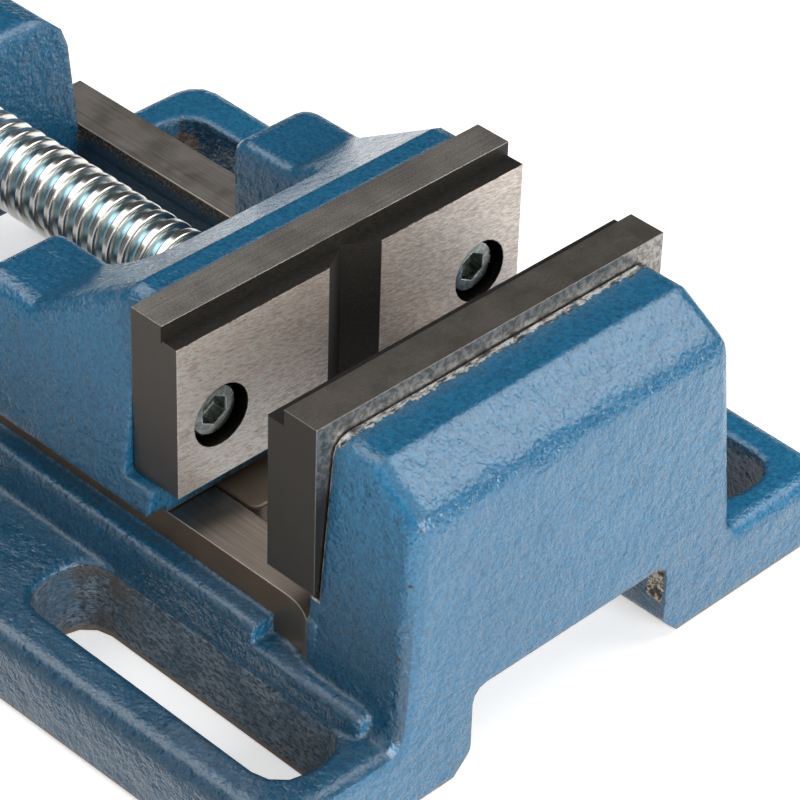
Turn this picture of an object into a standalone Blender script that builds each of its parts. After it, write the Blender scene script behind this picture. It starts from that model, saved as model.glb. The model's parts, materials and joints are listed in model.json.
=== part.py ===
"""Drill press vise with 80 mm jaws, built from its separate pieces.

Frame: +X runs along the lead screw towards the fixed jaw, +Z is up and the
sole stands at Z = 0. The modelling origin is the plane that the fixed jaw
plate is screwed to. Everything is parented to one empty, which puts the
middle of the whole vise over the world origin.
"""

import math

import bmesh
import bpy
from mathutils import Matrix, Vector

# General clearances and drawing values
SEAT_GAP = 0.0003
RUNNING_GAP = 0.0003
OVERRUN = 0.002
MERGE = 0.000001
ROUND_SIDES = 24
BIG_ROUND_SIDES = 36
FILLET_STEPS = 3
SHARP_ANGLE = math.radians(35)
SOLE_INSET = 0.0025
SOLE_ROUND = 0.0008
CASTING_ROUND = 0.003

# Jaw plates: hardened steel, a step along the top of each working face
JAW_WIDTH = 0.080
PLATE_HEIGHT = 0.0334
PLATE_THICKNESS = 0.011
STEP_DROP = 0.0029
STEP_DEPTH = 0.0036
VEE_HALF_WIDTH = 0.0061
VEE_DEPTH = 0.0036
JAW_OPENING = 0.0215

# Cap screws that hold the plates, M6 with an internal hexagon
CAP_HEAD_DIAMETER = 0.010
CAP_HEAD_HEIGHT = 0.006
CAP_SHANK_DIAMETER = 0.006
CAP_SHANK_LENGTH = 0.0145
CAP_SOCKET_WIDTH = 0.005
CAP_SOCKET_DEPTH = 0.003
CAP_CHAMFER = 0.0004
CAP_EDGE = 0.0097
CAP_BELOW_TOP = 0.0208
CAP_RECESS = 0.0018
CAP_COUNTERBORE = 0.012

# Heights above the sole
WAY_HEIGHT = 0.0287
SHELF_HEIGHT = 0.0226
FLANGE_HEIGHT = 0.015
PLATE_SEAT_RISE = 0.0060
FIXED_DROP = 0.0006
SCREW_RISE = 0.0098

# Slideways, worked outwards from the middle plane
WAY_INSET = 0.0120
WAY_WIDTH = 0.01033
WAY_WALL_DEPTH = 0.0046
LIP_STEP = 0.0004
LIP_THICKNESS = 0.0097
SHELF_WIDTH = 0.0049
SHELF_ROUND = 0.0018
WALL_DRAFT = 0.0008
WALL_THICKNESS = 0.0085
WALL_ROOT_DEPTH = 0.005
RUNOUT_RADIUS = 0.0125
RUNOUT_LENGTH = 0.0065
SHELF_END = 0.0115
LEDGE_HEIGHT = 0.0190
LEDGE_END = 0.014

# Foot flange with its four bolt slots
FLANGE_REAR = 0.1513
FLANGE_FRONT = 0.0203
FLANGE_REAR_RIM = 0.0109
FLANGE_FRONT_RIM = 0.0077
FLANGE_CORNER = 0.007
SLOT_WALL_GAP = 0.00057
SLOT_WIDTH = 0.0158
SLOT_LENGTH = 0.0645
SLOT_FRONT_MARGIN = 0.0069
SLOT_REAR_MARGIN = 0.0087
SLOT_CORNER = 0.006
SLOT_EDGE_ROUND = 0.0013

# Fixed jaw block
BLOCK_DROP = 0.004
BLOCK_FLAT = 0.0089
BLOCK_SLOPE_DROP = 0.0069
BLOCK_END_TOP = 0.0193
BLOCK_END_KNEE = 0.022
BLOCK_TOP_INSET = 0.0038
BLOCK_FOOT_INSET = 0.00333
BLOCK_FOOT_ROUND = 0.0035
TOE_DROP = 0.0005
SEAT_LEDGE_DEPTH = 0.0020
SEAT_RELIEF = 0.0014

# Tunnel through both ends of the base, below the screw
TUNNEL_INSET = 0.0044
TUNNEL_HEIGHT = 0.0177
TUNNEL_ROUND = 0.003
TUNNEL_FLARE = 0.0046
TUNNEL_MOUTH_ROUND = 0.0025

# Rear block, whose bore is the nut for the lead screw
NUT_FACE = 0.1361
NUT_BLOCK_LENGTH = 0.0130
NUT_BLOCK_RISE = 0.0177
NUT_BLOCK_TOP_INSET = 0.0040
NUT_BLOCK_FOOT_INSET = 0.0012
NUT_BLOCK_ROUND = 0.003
NUT_BLOCK_SHOULDER_ROUND = 0.009
NUT_BOSS_DIAMETER = 0.030
NUT_BOSS_LENGTH = 0.005
NUT_FILL_DROP = 0.0012
END_WALL_THICKNESS = 0.0125

# Moving jaw casting, measured back from its own plate seat
JAW_TOP_DROP = 0.0005
JAW_TOP_STRIP = 0.0045
JAW_SLOPE_LENGTH = 0.0225
EAR_DROP = 0.0145
EAR_LENGTH = 0.0420
EAR_INSET = 0.0076
WEB_THICKNESS = 0.0170
JAW_TOP_INSET = 0.0031
JAW_FOOT_INSET = 0.00103
JAW_LEDGE_LENGTH = 0.0068
JAW_EDGE_ROUND = 0.0035
JAW_CORNER_ROUND = 0.0065
JAW_OVERHANG_GAP = 0.0013
JAW_POCKET_ROUND = 0.004
JAW_RIM_ROUND = 0.0022
TONGUE_FRONT = 0.0040
TONGUE_REAR = 0.0005
TONGUE_CLEARANCE = 0.0008

# Lead screw, Tr16 with a 4 mm pitch, held in the jaw by two pins in its groove
SCREW_DIAMETER = 0.016
JOURNAL_DIAMETER = 0.013
JOURNAL_LENGTH = 0.0125
GROOVE_DIAMETER = 0.0096
GROOVE_START = 0.0045
SCREW_CHAMFER = 0.001
WASHER_DIAMETER = 0.0184
WASHER_THICKNESS = 0.002
HEAD_DIAMETER = 0.024
HEAD_LENGTH = 0.0214
HEAD_CLEARANCE = 0.002
HEAD_ROUND = 0.002
PIN_DIAMETER = 0.004
PIN_LENGTH = 0.024
PIN_CHAMFER = 0.0004

# Keeper plate under the ways, with two hexagon bolts and their washers
KEEPER_SIDE_GAP = 0.0013
KEEPER_LENGTH = 0.036
KEEPER_THICKNESS = 0.006
KEEPER_EDGE = 0.0006
KEEPER_FRONT = 0.0030
BOLT_DIAMETER = 0.006
BOLT_REACH = 0.0085
BOLT_HEAD_WIDTH = 0.010
BOLT_HEAD_HEIGHT = 0.004
BOLT_CHAMFER = 0.0005
BOLT_SPACING = 0.030
BOLT_WASHER_DIAMETER = 0.012
BOLT_WASHER_THICKNESS = 0.0016

# Tommy bar with a knob on each end
BAR_DIAMETER = 0.010
BAR_LENGTH = 0.110
BAR_CHAMFER = 0.001
KNOB_DIAMETER = 0.016
KNOB_LENGTH = 0.014
KNOB_OVERLAP = 0.009
KNOB_NECK_DIAMETER = 0.0125
KNOB_NECK_LENGTH = 0.002

# Heights worked out from the sizes above: plates, screw and nut rise with the ways
JAW_BOTTOM = WAY_HEIGHT + RUNNING_GAP
MOVING_TOP = JAW_BOTTOM + PLATE_SEAT_RISE + PLATE_HEIGHT
SCREW_HEIGHT = JAW_BOTTOM + SCREW_RISE
NUT_BLOCK_TOP = SCREW_HEIGHT + NUT_BLOCK_RISE
FIXED_TOP = MOVING_TOP - FIXED_DROP
BLOCK_TOP = MOVING_TOP - BLOCK_DROP
SEAT_LEDGE_HEIGHT = FIXED_TOP - PLATE_HEIGHT - SEAT_RELIEF
LIP_UNDERSIDE = WAY_HEIGHT - LIP_THICKNESS
KEEPER_TOP = LIP_UNDERSIDE - RUNNING_GAP
TONGUE_BOTTOM = KEEPER_TOP + SEAT_GAP

# Half widths worked out from the sizes above: the jaws set the ways, the ways the rest
CAP_SPACING = JAW_WIDTH - 2 * CAP_EDGE
WAY_INNER = JAW_WIDTH / 2 - WAY_INSET
WAY_OUTER = WAY_INNER + WAY_WIDTH
LIP_INNER = WAY_INNER - LIP_STEP
SHELF_HALF_WIDTH = WAY_OUTER + SHELF_WIDTH
BODY_HALF_WIDTH = SHELF_HALF_WIDTH + WALL_DRAFT
CAVITY_HALF_WIDTH = BODY_HALF_WIDTH - WALL_THICKNESS
KEEPER_HALF_WIDTH = CAVITY_HALF_WIDTH - KEEPER_SIDE_GAP
SLOT_INNER = BODY_HALF_WIDTH + SLOT_WALL_GAP
SLOT_OUTER = SLOT_INNER + SLOT_WIDTH
FLANGE_REAR_HALF_WIDTH = SLOT_OUTER + FLANGE_REAR_RIM
FLANGE_FRONT_HALF_WIDTH = SLOT_OUTER + FLANGE_FRONT_RIM
BLOCK_TOP_HALF_WIDTH = JAW_WIDTH / 2 - BLOCK_TOP_INSET
BLOCK_FOOT_HALF_WIDTH = BODY_HALF_WIDTH - BLOCK_FOOT_INSET
JAW_TOP_HALF_WIDTH = JAW_WIDTH / 2 - JAW_TOP_INSET
JAW_FOOT_HALF_WIDTH = BODY_HALF_WIDTH - JAW_FOOT_INSET
EAR_INNER = WAY_INNER - EAR_INSET
TUNNEL_HALF_WIDTH = WAY_INNER - TUNNEL_INSET
NUT_BLOCK_TOP_HALF_WIDTH = WAY_INNER - NUT_BLOCK_TOP_INSET
NUT_BLOCK_FOOT_HALF_WIDTH = WAY_INNER - NUT_BLOCK_FOOT_INSET

# Places worked out from the sizes above, along X from the fixed plate's seat
PLATE_STACK = PLATE_THICKNESS + SEAT_GAP
JAW_SEAT = -(2 * PLATE_STACK + JAW_OPENING)
WEB_REAR = JAW_SEAT - WEB_THICKNESS
JAW_REAR = JAW_SEAT - EAR_LENGTH
CLOSING_TRAVEL = JAW_OPENING - SEAT_GAP
NUT_REAR = -NUT_FACE - NUT_BLOCK_LENGTH
BOSS_REAR = NUT_REAR - NUT_BOSS_LENGTH
HEAD_FRONT = BOSS_REAR - CLOSING_TRAVEL - HEAD_CLEARANCE
HEAD_REAR = HEAD_FRONT - HEAD_LENGTH
BAR_PLACE = HEAD_FRONT - HEAD_LENGTH / 2
SHOULDER = WEB_REAR - 2 * SEAT_GAP - WASHER_THICKNESS
WELL_REAR = NUT_REAR + END_WALL_THICKNESS
WELL_FRONT = -SEAT_LEDGE_DEPTH - WALL_ROOT_DEPTH
WELL_HALF_WIDTH = CAVITY_HALF_WIDTH + SEAT_GAP
TAP_DEPTH = CAP_RECESS + CAP_HEAD_HEIGHT + CAP_SHANK_LENGTH - PLATE_STACK + 2 * SEAT_GAP
GROOVE_WIDTH = PIN_DIAMETER + 2 * RUNNING_GAP
GROOVE_MIDDLE = SHOULDER + GROOVE_START + GROOVE_WIDTH / 2
JOURNAL_END = SHOULDER + JOURNAL_LENGTH
PIN_OFFSET = (GROOVE_DIAMETER + PIN_DIAMETER) / 2 + RUNNING_GAP
KEEPER_MIDDLE = JAW_SEAT - KEEPER_FRONT - KEEPER_LENGTH / 2
MIDDLE = (FLANGE_FRONT + HEAD_REAR) / 2
SIDES = ((-1, "near"), (1, "far"))

# Colours, roughness and metal, as the finished pieces look
FINISHES = {
    "blue_enamel": ((0.012, 0.085, 0.19), 0.35, 0.0),
    "ground_steel": ((0.30, 0.29, 0.28), 0.40, 1.0),
    "zinc_plate": ((0.62, 0.66, 0.70), 0.25, 1.0),
    "bright_steel": ((0.55, 0.55, 0.55), 0.30, 1.0),
    "black_steel": ((0.05, 0.05, 0.055), 0.45, 0.8),
}


def finish(name):
    """One Principled material for each finish."""
    material = bpy.data.materials.get(name)
    if material is None:
        colour, roughness, metallic = FINISHES[name]
        material = bpy.data.materials.new(name)
        material.use_nodes = True
        shader = material.node_tree.nodes["Principled BSDF"]
        shader.inputs["Base Color"].default_value = (*colour, 1.0)
        shader.inputs["Roughness"].default_value = roughness
        shader.inputs["Metallic"].default_value = metallic
    return material


def evaluated_mesh(thing):
    """The object's mesh after its modifiers, or after a curve is filled."""
    bpy.context.view_layer.update()
    graph = bpy.context.evaluated_depsgraph_get()
    return bpy.data.meshes.new_from_object(thing.evaluated_get(graph))


def mesh_object(name, mesh, collection):
    thing = bpy.data.objects.new(name, mesh)
    collection.objects.link(thing)
    return thing


def corner_arc(before, corner, after, radius, steps):
    """Points of the round that replaces one corner of an outline."""
    point = Vector(corner)
    first = (Vector(before) - point).normalized()
    second = (Vector(after) - point).normalized()
    half = first.angle(second) / 2
    reach = radius / math.tan(half)
    centre = point + (first + second).normalized() * (radius / math.sin(half))
    start = point + first * reach - centre
    end = point + second * reach - centre
    sweep = start.angle_signed(end)
    points = []
    for step in range(steps + 1):
        turn = Matrix.Rotation(-sweep * step / steps, 2)
        points.append(centre + turn @ start)
    return points


def rounded(corners, steps=FILLET_STEPS):
    """Outline of (x, y, radius) corners, each given its round."""
    points = []
    for index, (x, y, radius) in enumerate(corners):
        before = corners[index - 1][:2]
        after = corners[(index + 1) % len(corners)][:2]
        if radius > 0:
            points += corner_arc(before, (x, y), after, radius, steps)
        else:
            points.append(Vector((x, y)))
    return points


TURNS = {
    "X": Matrix(((0, 0, 1), (1, 0, 0), (0, 1, 0))).to_4x4(),
    "Y": Matrix(((1, 0, 0), (0, 0, -1), (0, 1, 0))).to_4x4(),
    "Z": Matrix.Identity(4),
}


def prism(name, outlines, axis, start, end, collection):
    """Flat outlines, the first outside and the rest holes, drawn from start to end.

    Outlines are (y, z) along X, (x, z) along Y and (x, y) along Z.
    """
    curve = bpy.data.curves.new(name, "CURVE")
    curve.dimensions = "2D"
    curve.fill_mode = "BOTH"
    curve.extrude = abs(end - start) / 2
    for outline in outlines:
        spline = curve.splines.new("POLY")
        spline.points.add(len(outline) - 1)
        for point, place in zip(spline.points, outline):
            point.co = (place[0], place[1], 0, 1)
        spline.use_cyclic_u = True
    guide = bpy.data.objects.new(name, curve)
    collection.objects.link(guide)
    mesh = evaluated_mesh(guide)
    bpy.data.objects.remove(guide)
    bpy.data.curves.remove(curve)
    middle = (start + end) / 2
    if axis == "Y":
        middle = -middle
    mesh.transform(TURNS[axis] @ Matrix.Translation((0, 0, middle)))
    tidy_faces(mesh)
    return mesh_object(name, mesh, collection)


def tidy_faces(mesh):
    """Weld the caps and let flat neighbours share one face."""
    work = bmesh.new()
    work.from_mesh(mesh)
    bmesh.ops.remove_doubles(work, verts=work.verts, dist=MERGE)
    bmesh.ops.dissolve_limit(work, angle_limit=math.radians(0.5), verts=work.verts, edges=work.edges)
    bmesh.ops.recalc_face_normals(work, faces=work.faces)
    work.to_mesh(mesh)
    work.free()


def box(name, low, high, collection):
    """A plain block between two corners."""
    work = bmesh.new()
    bmesh.ops.create_cube(work, size=1.0)
    size = Vector(high) - Vector(low)
    centre = (Vector(high) + Vector(low)) / 2
    place = Matrix.Translation(centre) @ Matrix.Diagonal((*size, 1))
    bmesh.ops.transform(work, matrix=place, verts=work.verts)
    mesh = bpy.data.meshes.new(name)
    work.to_mesh(mesh)
    work.free()
    return mesh_object(name, mesh, collection)


def turned(name, profile, axis, place, collection, sides=ROUND_SIDES):
    """A turned piece: (distance along the axis, radius) pairs, spun by a Screw modifier.

    The profile runs down the outer side, from its highest place on the axis to its lowest.
    """
    mesh = bpy.data.meshes.new(name)
    verts = [(radius, 0, along) for along, radius in profile]
    edges = [(index, index + 1) for index in range(len(verts) - 1)]
    mesh.from_pydata(verts, edges, [])
    thing = mesh_object(name, mesh, collection)
    spin = thing.modifiers.new("spin", "SCREW")
    spin.axis = "Z"
    spin.steps = sides
    spin.render_steps = sides
    spin.use_merge_vertices = True
    spin.merge_threshold = MERGE
    spin.use_smooth_shade = True
    result = evaluated_mesh(thing)
    turn = {
        "X": Matrix.Rotation(math.pi / 2, 4, "Y"),
        "Y": Matrix.Rotation(-math.pi / 2, 4, "X"),
        "Z": Matrix.Identity(4),
    }
    result.transform(Matrix.Translation(place) @ turn[axis])
    tidy_faces(result)
    thing.modifiers.clear()
    thing.data = result
    return thing


def round_edges(thing, chosen, radius, steps=FILLET_STEPS):
    """Round the edges that a test picks, by their two ends."""
    work = bmesh.new()
    work.from_mesh(thing.data)
    edges = [edge for edge in work.edges if chosen(edge)]
    bmesh.ops.bevel(work, geom=edges, offset=radius, offset_type="OFFSET", segments=steps, profile=0.5,
                    affect="EDGES", clamp_overlap=True)
    work.to_mesh(thing.data)
    work.free()


def joined(target, tool, operation="UNION"):
    """Apply one Boolean now, and drop the tool."""
    step = target.modifiers.new("join", "BOOLEAN")
    step.operation = operation
    step.solver = "EXACT"
    step.object = tool
    mesh = evaluated_mesh(target)
    target.modifiers.clear()
    target.data = mesh
    bpy.data.objects.remove(tool)
    return target


def cut(target, cutter):
    """Leave a cutter in place as a live Boolean, hidden from the render."""
    cutter.hide_render = True
    cutter.display_type = "WIRE"
    step = target.modifiers.new(cutter.name, "BOOLEAN")
    step.operation = "DIFFERENCE"
    step.solver = "EXACT"
    step.object = cutter


def edge_middle(edge):
    return (edge.verts[0].co + edge.verts[1].co) / 2


def on_level(edge, axis, value):
    """Both ends of an edge lie at this value along the axis."""
    return all(abs(vert.co[axis] - value) < 10 * MERGE for vert in edge.verts)


def arris(edge):
    """A true corner edge, not a facet line of a round."""
    return edge.calc_face_angle(0) > SHARP_ANGLE


def mirrored(half):
    """A whole outline from the corners of its half at +y, given from the bottom up."""
    return half + [(-corner[0], *corner[1:]) for corner in reversed(half)]


def slot_starts():
    """Rear ends of the rear and the front pair of bolt slots."""
    return (-FLANGE_REAR + SLOT_REAR_MARGIN, FLANGE_FRONT - SLOT_FRONT_MARGIN - SLOT_LENGTH)


def bolt_slot(start, side, collection):
    """Shape of one bolt slot, flared at the top by the round of its rim."""

    def outline(grow):
        rear, front = start - grow, start + SLOT_LENGTH + grow
        inner, outer = side * (SLOT_INNER - grow), side * (SLOT_OUTER + grow)
        corner = SLOT_CORNER + grow
        return rounded([(rear, inner, corner), (front, inner, corner),
                        (front, outer, corner), (rear, outer, corner)])

    slot = prism("slot", [outline(0)], "Z", -OVERRUN, FLANGE_HEIGHT + OVERRUN / 2, collection)
    joined(slot, prism("slot_mouth", [outline(SLOT_EDGE_ROUND + SEAT_GAP)], "Z",
                       FLANGE_HEIGHT, FLANGE_HEIGHT + OVERRUN, collection))
    round_edges(slot, lambda edge: on_level(edge, 2, FLANGE_HEIGHT) and arris(edge) and not edge.is_convex,
                SLOT_EDGE_ROUND, 2)
    return slot


def foot_flange(collection):
    """Slotted plate that the vise stands on, with rounded casting edges."""
    plate = prism("base_casting", [rounded([
        (-FLANGE_REAR, -FLANGE_REAR_HALF_WIDTH, FLANGE_CORNER),
        (FLANGE_FRONT, -FLANGE_FRONT_HALF_WIDTH, FLANGE_CORNER),
        (FLANGE_FRONT, FLANGE_FRONT_HALF_WIDTH, FLANGE_CORNER),
        (-FLANGE_REAR, FLANGE_REAR_HALF_WIDTH, FLANGE_CORNER),
    ])], "Z", 0, FLANGE_HEIGHT, collection)
    round_edges(plate, lambda edge: on_level(edge, 2, FLANGE_HEIGHT), CASTING_ROUND)
    round_edges(plate, lambda edge: on_level(edge, 2, 0), SOLE_ROUND, 1)
    for side in (-1, 1):
        for start in slot_starts():
            joined(plate, bolt_slot(start, side, collection), "DIFFERENCE")
    well = box("well", (WELL_REAR, -WELL_HALF_WIDTH, -OVERRUN),
               (WELL_FRONT, WELL_HALF_WIDTH, FLANGE_HEIGHT + OVERRUN), collection)
    return joined(plate, well, "DIFFERENCE")


def fixed_block(collection):
    """Fixed jaw: a drafted block whose sloped face looks away from the jaws."""
    foot = FLANGE_HEIGHT - TOE_DROP
    lean = math.atan2(BLOCK_FOOT_HALF_WIDTH - BLOCK_TOP_HALF_WIDTH, BLOCK_TOP + OVERRUN - foot)
    toe = BLOCK_FOOT_HALF_WIDTH + BLOCK_FOOT_ROUND / math.tan(math.pi / 4 + lean / 2)
    block = prism("fixed_block", [[
        (-SEAT_LEDGE_DEPTH, SOLE_INSET),
        (FLANGE_FRONT, SOLE_INSET),
        (FLANGE_FRONT, BLOCK_END_KNEE),
        (BLOCK_END_TOP, BLOCK_TOP - BLOCK_SLOPE_DROP),
        (BLOCK_FLAT, BLOCK_TOP),
        (0, BLOCK_TOP),
        (0, SEAT_LEDGE_HEIGHT),
        (-SEAT_LEDGE_DEPTH, SEAT_LEDGE_HEIGHT),
    ]], "Y", -BODY_HALF_WIDTH, BODY_HALF_WIDTH, collection)
    outline = rounded(mirrored([
        (toe, 0, 0),
        (toe, foot, 0),
        (BLOCK_FOOT_HALF_WIDTH, foot, BLOCK_FOOT_ROUND),
        (BLOCK_TOP_HALF_WIDTH, BLOCK_TOP + OVERRUN, 0),
    ]))
    ends = prism("end_view", [outline], "X", -2 * OVERRUN, FLANGE_FRONT + OVERRUN, collection)
    joined(block, ends, "INTERSECT")
    tidy_faces(block.data)

    def outside(edge):
        above_foot = min(vert.co.z for vert in edge.verts) > foot - MERGE
        at_seat = max(vert.co.x for vert in edge.verts) < MERGE
        along_foot = on_level(edge, 2, foot)
        return arris(edge) and above_foot and not (at_seat or along_foot)

    round_edges(block, outside, CASTING_ROUND)
    return block


def slideway(side, collection):
    """One side wall of the base, with its machined way, shelf and inner lip.

    Near the fixed jaw the shelf stops, and a lower ledge runs on along the foot of the jaw.
    """
    wall_root = FLANGE_HEIGHT - WALL_ROOT_DEPTH
    way_root = WAY_HEIGHT - WAY_WALL_DEPTH
    corners = rounded([
        (WAY_INNER, WAY_HEIGHT, 0),
        (WAY_OUTER, WAY_HEIGHT, 0),
        (WAY_OUTER, SHELF_HEIGHT, 0),
        (SHELF_HALF_WIDTH, SHELF_HEIGHT, SHELF_ROUND),
        (BODY_HALF_WIDTH, FLANGE_HEIGHT, 0),
        (BODY_HALF_WIDTH, wall_root, 0),
        (CAVITY_HALF_WIDTH, wall_root, 0),
        (CAVITY_HALF_WIDTH, LIP_UNDERSIDE, 0),
        (LIP_INNER, LIP_UNDERSIDE, 0),
        (LIP_INNER, way_root, 0),
        (WAY_INNER, way_root, 0),
    ])
    outline = [(side * point[0], point[1]) for point in corners]
    way = prism("slideway", [outline], "X", NUT_REAR, LEDGE_END, collection)
    low, high = sorted((side * WAY_OUTER, side * (BODY_HALF_WIDTH + OVERRUN)))
    joined(way, box("ledge", (-SHELF_END, low, LEDGE_HEIGHT),
                    (LEDGE_END + OVERRUN, high, SHELF_HEIGHT + OVERRUN), collection), "DIFFERENCE")

    def ledge_edge(edge):
        outer = min(abs(vert.co.y) for vert in edge.verts) > WAY_OUTER - MERGE
        ridge = on_level(edge, 2, LEDGE_HEIGHT) and abs(edge_middle(edge).y) > SHELF_HALF_WIDTH
        nose = on_level(edge, 0, LEDGE_END) and edge_middle(edge).z > wall_root + MERGE
        return outer and arris(edge) and (ridge or nose)

    round_edges(way, ledge_edge, SHELF_ROUND)
    return way


def cutter_runout(side, collection):
    """Widening of the way where the round milling cutter stopped, beside the fixed jaw."""
    start = -RUNOUT_LENGTH - SEAT_LEDGE_DEPTH
    sweep = math.asin(RUNOUT_LENGTH / RUNOUT_RADIUS)
    steps = 2 * FILLET_STEPS
    arc = []
    for step in range(steps + 1):
        turn = sweep * step / steps
        out = WAY_OUTER + RUNOUT_RADIUS * (1 - math.cos(turn))
        arc.append((start + RUNOUT_RADIUS * math.sin(turn), side * out))
    inside = side * (WAY_OUTER - OVERRUN)
    outline = arc + [(0, arc[-1][1]), (0, inside), (start, inside)]
    return prism("cutter_runout", [outline], "Z", LEDGE_HEIGHT - OVERRUN, WAY_HEIGHT, collection)


def nut_block(collection):
    """Rear block that carries the nut bore, with its round boss."""
    foot = WAY_HEIGHT - NUT_FILL_DROP
    block = prism("nut_block", [rounded([
        (-NUT_FACE, LIP_UNDERSIDE - OVERRUN, 0),
        (NUT_REAR, LIP_UNDERSIDE - OVERRUN, 0),
        (NUT_REAR, NUT_BLOCK_TOP, NUT_BLOCK_ROUND),
        (-NUT_FACE, NUT_BLOCK_TOP, NUT_BLOCK_ROUND),
    ])], "Y", -WAY_OUTER, WAY_OUTER, collection)
    outline = rounded(mirrored([
        (WAY_INNER + OVERRUN, 0, 0),
        (WAY_INNER + OVERRUN, foot, 0),
        (NUT_BLOCK_FOOT_HALF_WIDTH, foot, NUT_FILL_DROP),
        (NUT_BLOCK_TOP_HALF_WIDTH, NUT_BLOCK_TOP, NUT_BLOCK_SHOULDER_ROUND),
    ]))
    ends = prism("nut_end_view", [outline], "X", NUT_REAR - OVERRUN, OVERRUN - NUT_FACE, collection)
    joined(block, ends, "INTERSECT")
    boss_radius = NUT_BOSS_DIAMETER / 2
    boss = turned("nut_boss", [(0, 0), (0, boss_radius - CAP_CHAMFER), (CAP_CHAMFER, boss_radius),
                               (NUT_BOSS_LENGTH + OVERRUN, boss_radius), (NUT_BOSS_LENGTH + OVERRUN, 0)],
                  "X", (BOSS_REAR, 0, SCREW_HEIGHT), collection, BIG_ROUND_SIDES)
    return joined(block, boss)


def end_wall(collection):
    """Wall below the nut block that closes the rear of the base."""
    wall = box("end_wall", (NUT_REAR, -BODY_HALF_WIDTH + OVERRUN, SOLE_INSET),
               (WELL_REAR, BODY_HALF_WIDTH - OVERRUN, SHELF_HEIGHT - OVERRUN / 2), collection)
    return wall


def tunnel(collection):
    """Arched passage through both ends, its mouth flared at the sole."""
    outline = rounded(mirrored([
        (TUNNEL_HALF_WIDTH + TUNNEL_FLARE + OVERRUN, -OVERRUN, 0),
        (TUNNEL_HALF_WIDTH, TUNNEL_FLARE, TUNNEL_MOUTH_ROUND),
        (TUNNEL_HALF_WIDTH, TUNNEL_HEIGHT, TUNNEL_ROUND),
    ]))
    return prism("tunnel_cutter", [outline], "X", BOSS_REAR - OVERRUN, FLANGE_FRONT + OVERRUN, collection)


def bore(name, diameter, axis, place, length, collection, sides=ROUND_SIDES):
    """A plain drill, centred on its place and drawn forward along the axis."""
    radius = diameter / 2
    profile = [(0, 0), (0, radius), (length, radius), (length, 0)]
    return turned(name, profile, axis, place, collection, sides)


def build_base(parts, cutters):
    base = foot_flange(parts)
    joined(base, fixed_block(parts))
    for side in (-1, 1):
        joined(base, slideway(side, parts))
        joined(base, cutter_runout(side, parts))
    joined(base, end_wall(parts))
    joined(base, nut_block(parts))
    cut(base, tunnel(cutters))
    nut_length = NUT_BLOCK_LENGTH + NUT_BOSS_LENGTH + 2 * OVERRUN
    cut(base, bore("nut_bore_cutter", SCREW_DIAMETER + 2 * RUNNING_GAP, "X",
                   (BOSS_REAR - OVERRUN, 0, SCREW_HEIGHT), nut_length, cutters, BIG_ROUND_SIDES))
    for side in (-1, 1):
        place = (-OVERRUN, side * CAP_SPACING / 2, FIXED_TOP - CAP_BELOW_TOP)
        cut(base, bore(f"fixed_tap_cutter_{side}", CAP_SHANK_DIAMETER + 2 * SEAT_GAP, "X",
                       place, TAP_DEPTH + OVERRUN, cutters))
    base.data.materials.append(finish("blue_enamel"))
    return base


def jaw_plate(name, front, back, top, vee, parts, cutters):
    """Steel plate whose working face is at front and whose seat is at back."""
    facing = 1 if front > back else -1
    bottom = top - PLATE_HEIGHT
    step = front - facing * STEP_DEPTH
    plate = prism(name, [[(back, bottom), (front, bottom), (front, top - STEP_DROP),
                          (step, top - STEP_DROP), (step, top), (back, top)]],
                  "Y", -JAW_WIDTH / 2, JAW_WIDTH / 2, parts)
    if vee:
        tip = front - facing * VEE_DEPTH
        beyond = front + facing * VEE_DEPTH
        wide = 2 * VEE_HALF_WIDTH
        cut(plate, prism(f"{name}_vee_cutter", [[(tip, 0), (beyond, wide), (beyond, -wide)]], "Z",
                         bottom - OVERRUN, top - STEP_DROP + MERGE, cutters))
    for side in (-1, 1):
        place = side * CAP_SPACING / 2
        height = top - CAP_BELOW_TOP
        seat_depth = CAP_RECESS + CAP_HEAD_HEIGHT + SEAT_GAP
        low, high = sorted((back - facing * OVERRUN, front + facing * OVERRUN))
        cut(plate, bore(f"{name}_hole_cutter_{side}", CAP_SHANK_DIAMETER + 2 * SEAT_GAP, "X",
                        (low, place, height), high - low, cutters))
        low, high = sorted((front - facing * seat_depth, front + facing * OVERRUN))
        cut(plate, bore(f"{name}_counterbore_cutter_{side}", CAP_COUNTERBORE, "X",
                        (low, place, height), high - low, cutters))
    plate.data.materials.append(finish("ground_steel"))
    return plate


def cap_screw(name, head_face, facing, place, height, parts, cutters):
    """Hexagon socket screw; its head's face is at head_face and its shank runs the other way."""
    head = CAP_HEAD_DIAMETER / 2
    shank = CAP_SHANK_DIAMETER / 2
    length = CAP_HEAD_HEIGHT + CAP_SHANK_LENGTH
    profile = [(0, 0), (0, shank - CAP_CHAMFER), (CAP_CHAMFER, shank), (CAP_SHANK_LENGTH, shank),
               (CAP_SHANK_LENGTH, head), (length - CAP_CHAMFER, head),
               (length, head - CAP_CHAMFER), (length, 0)]
    screw = turned(name, profile, "X", (0, 0, 0), parts)
    socket = bore(f"{name}_socket_cutter", CAP_SOCKET_WIDTH / math.cos(math.pi / 6), "X",
                  (length - CAP_SOCKET_DEPTH, 0, 0), CAP_SOCKET_DEPTH + OVERRUN, cutters, 6)
    turn = Matrix.Identity(4) if facing > 0 else Matrix.Rotation(math.pi, 4, "Z")
    home = Matrix.Translation((head_face - facing * length, place, height)) @ turn
    for thing in (screw, socket):
        thing.data.transform(home)
    cut(screw, socket)
    screw.data.materials.append(finish("zinc_plate"))
    return screw


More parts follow.
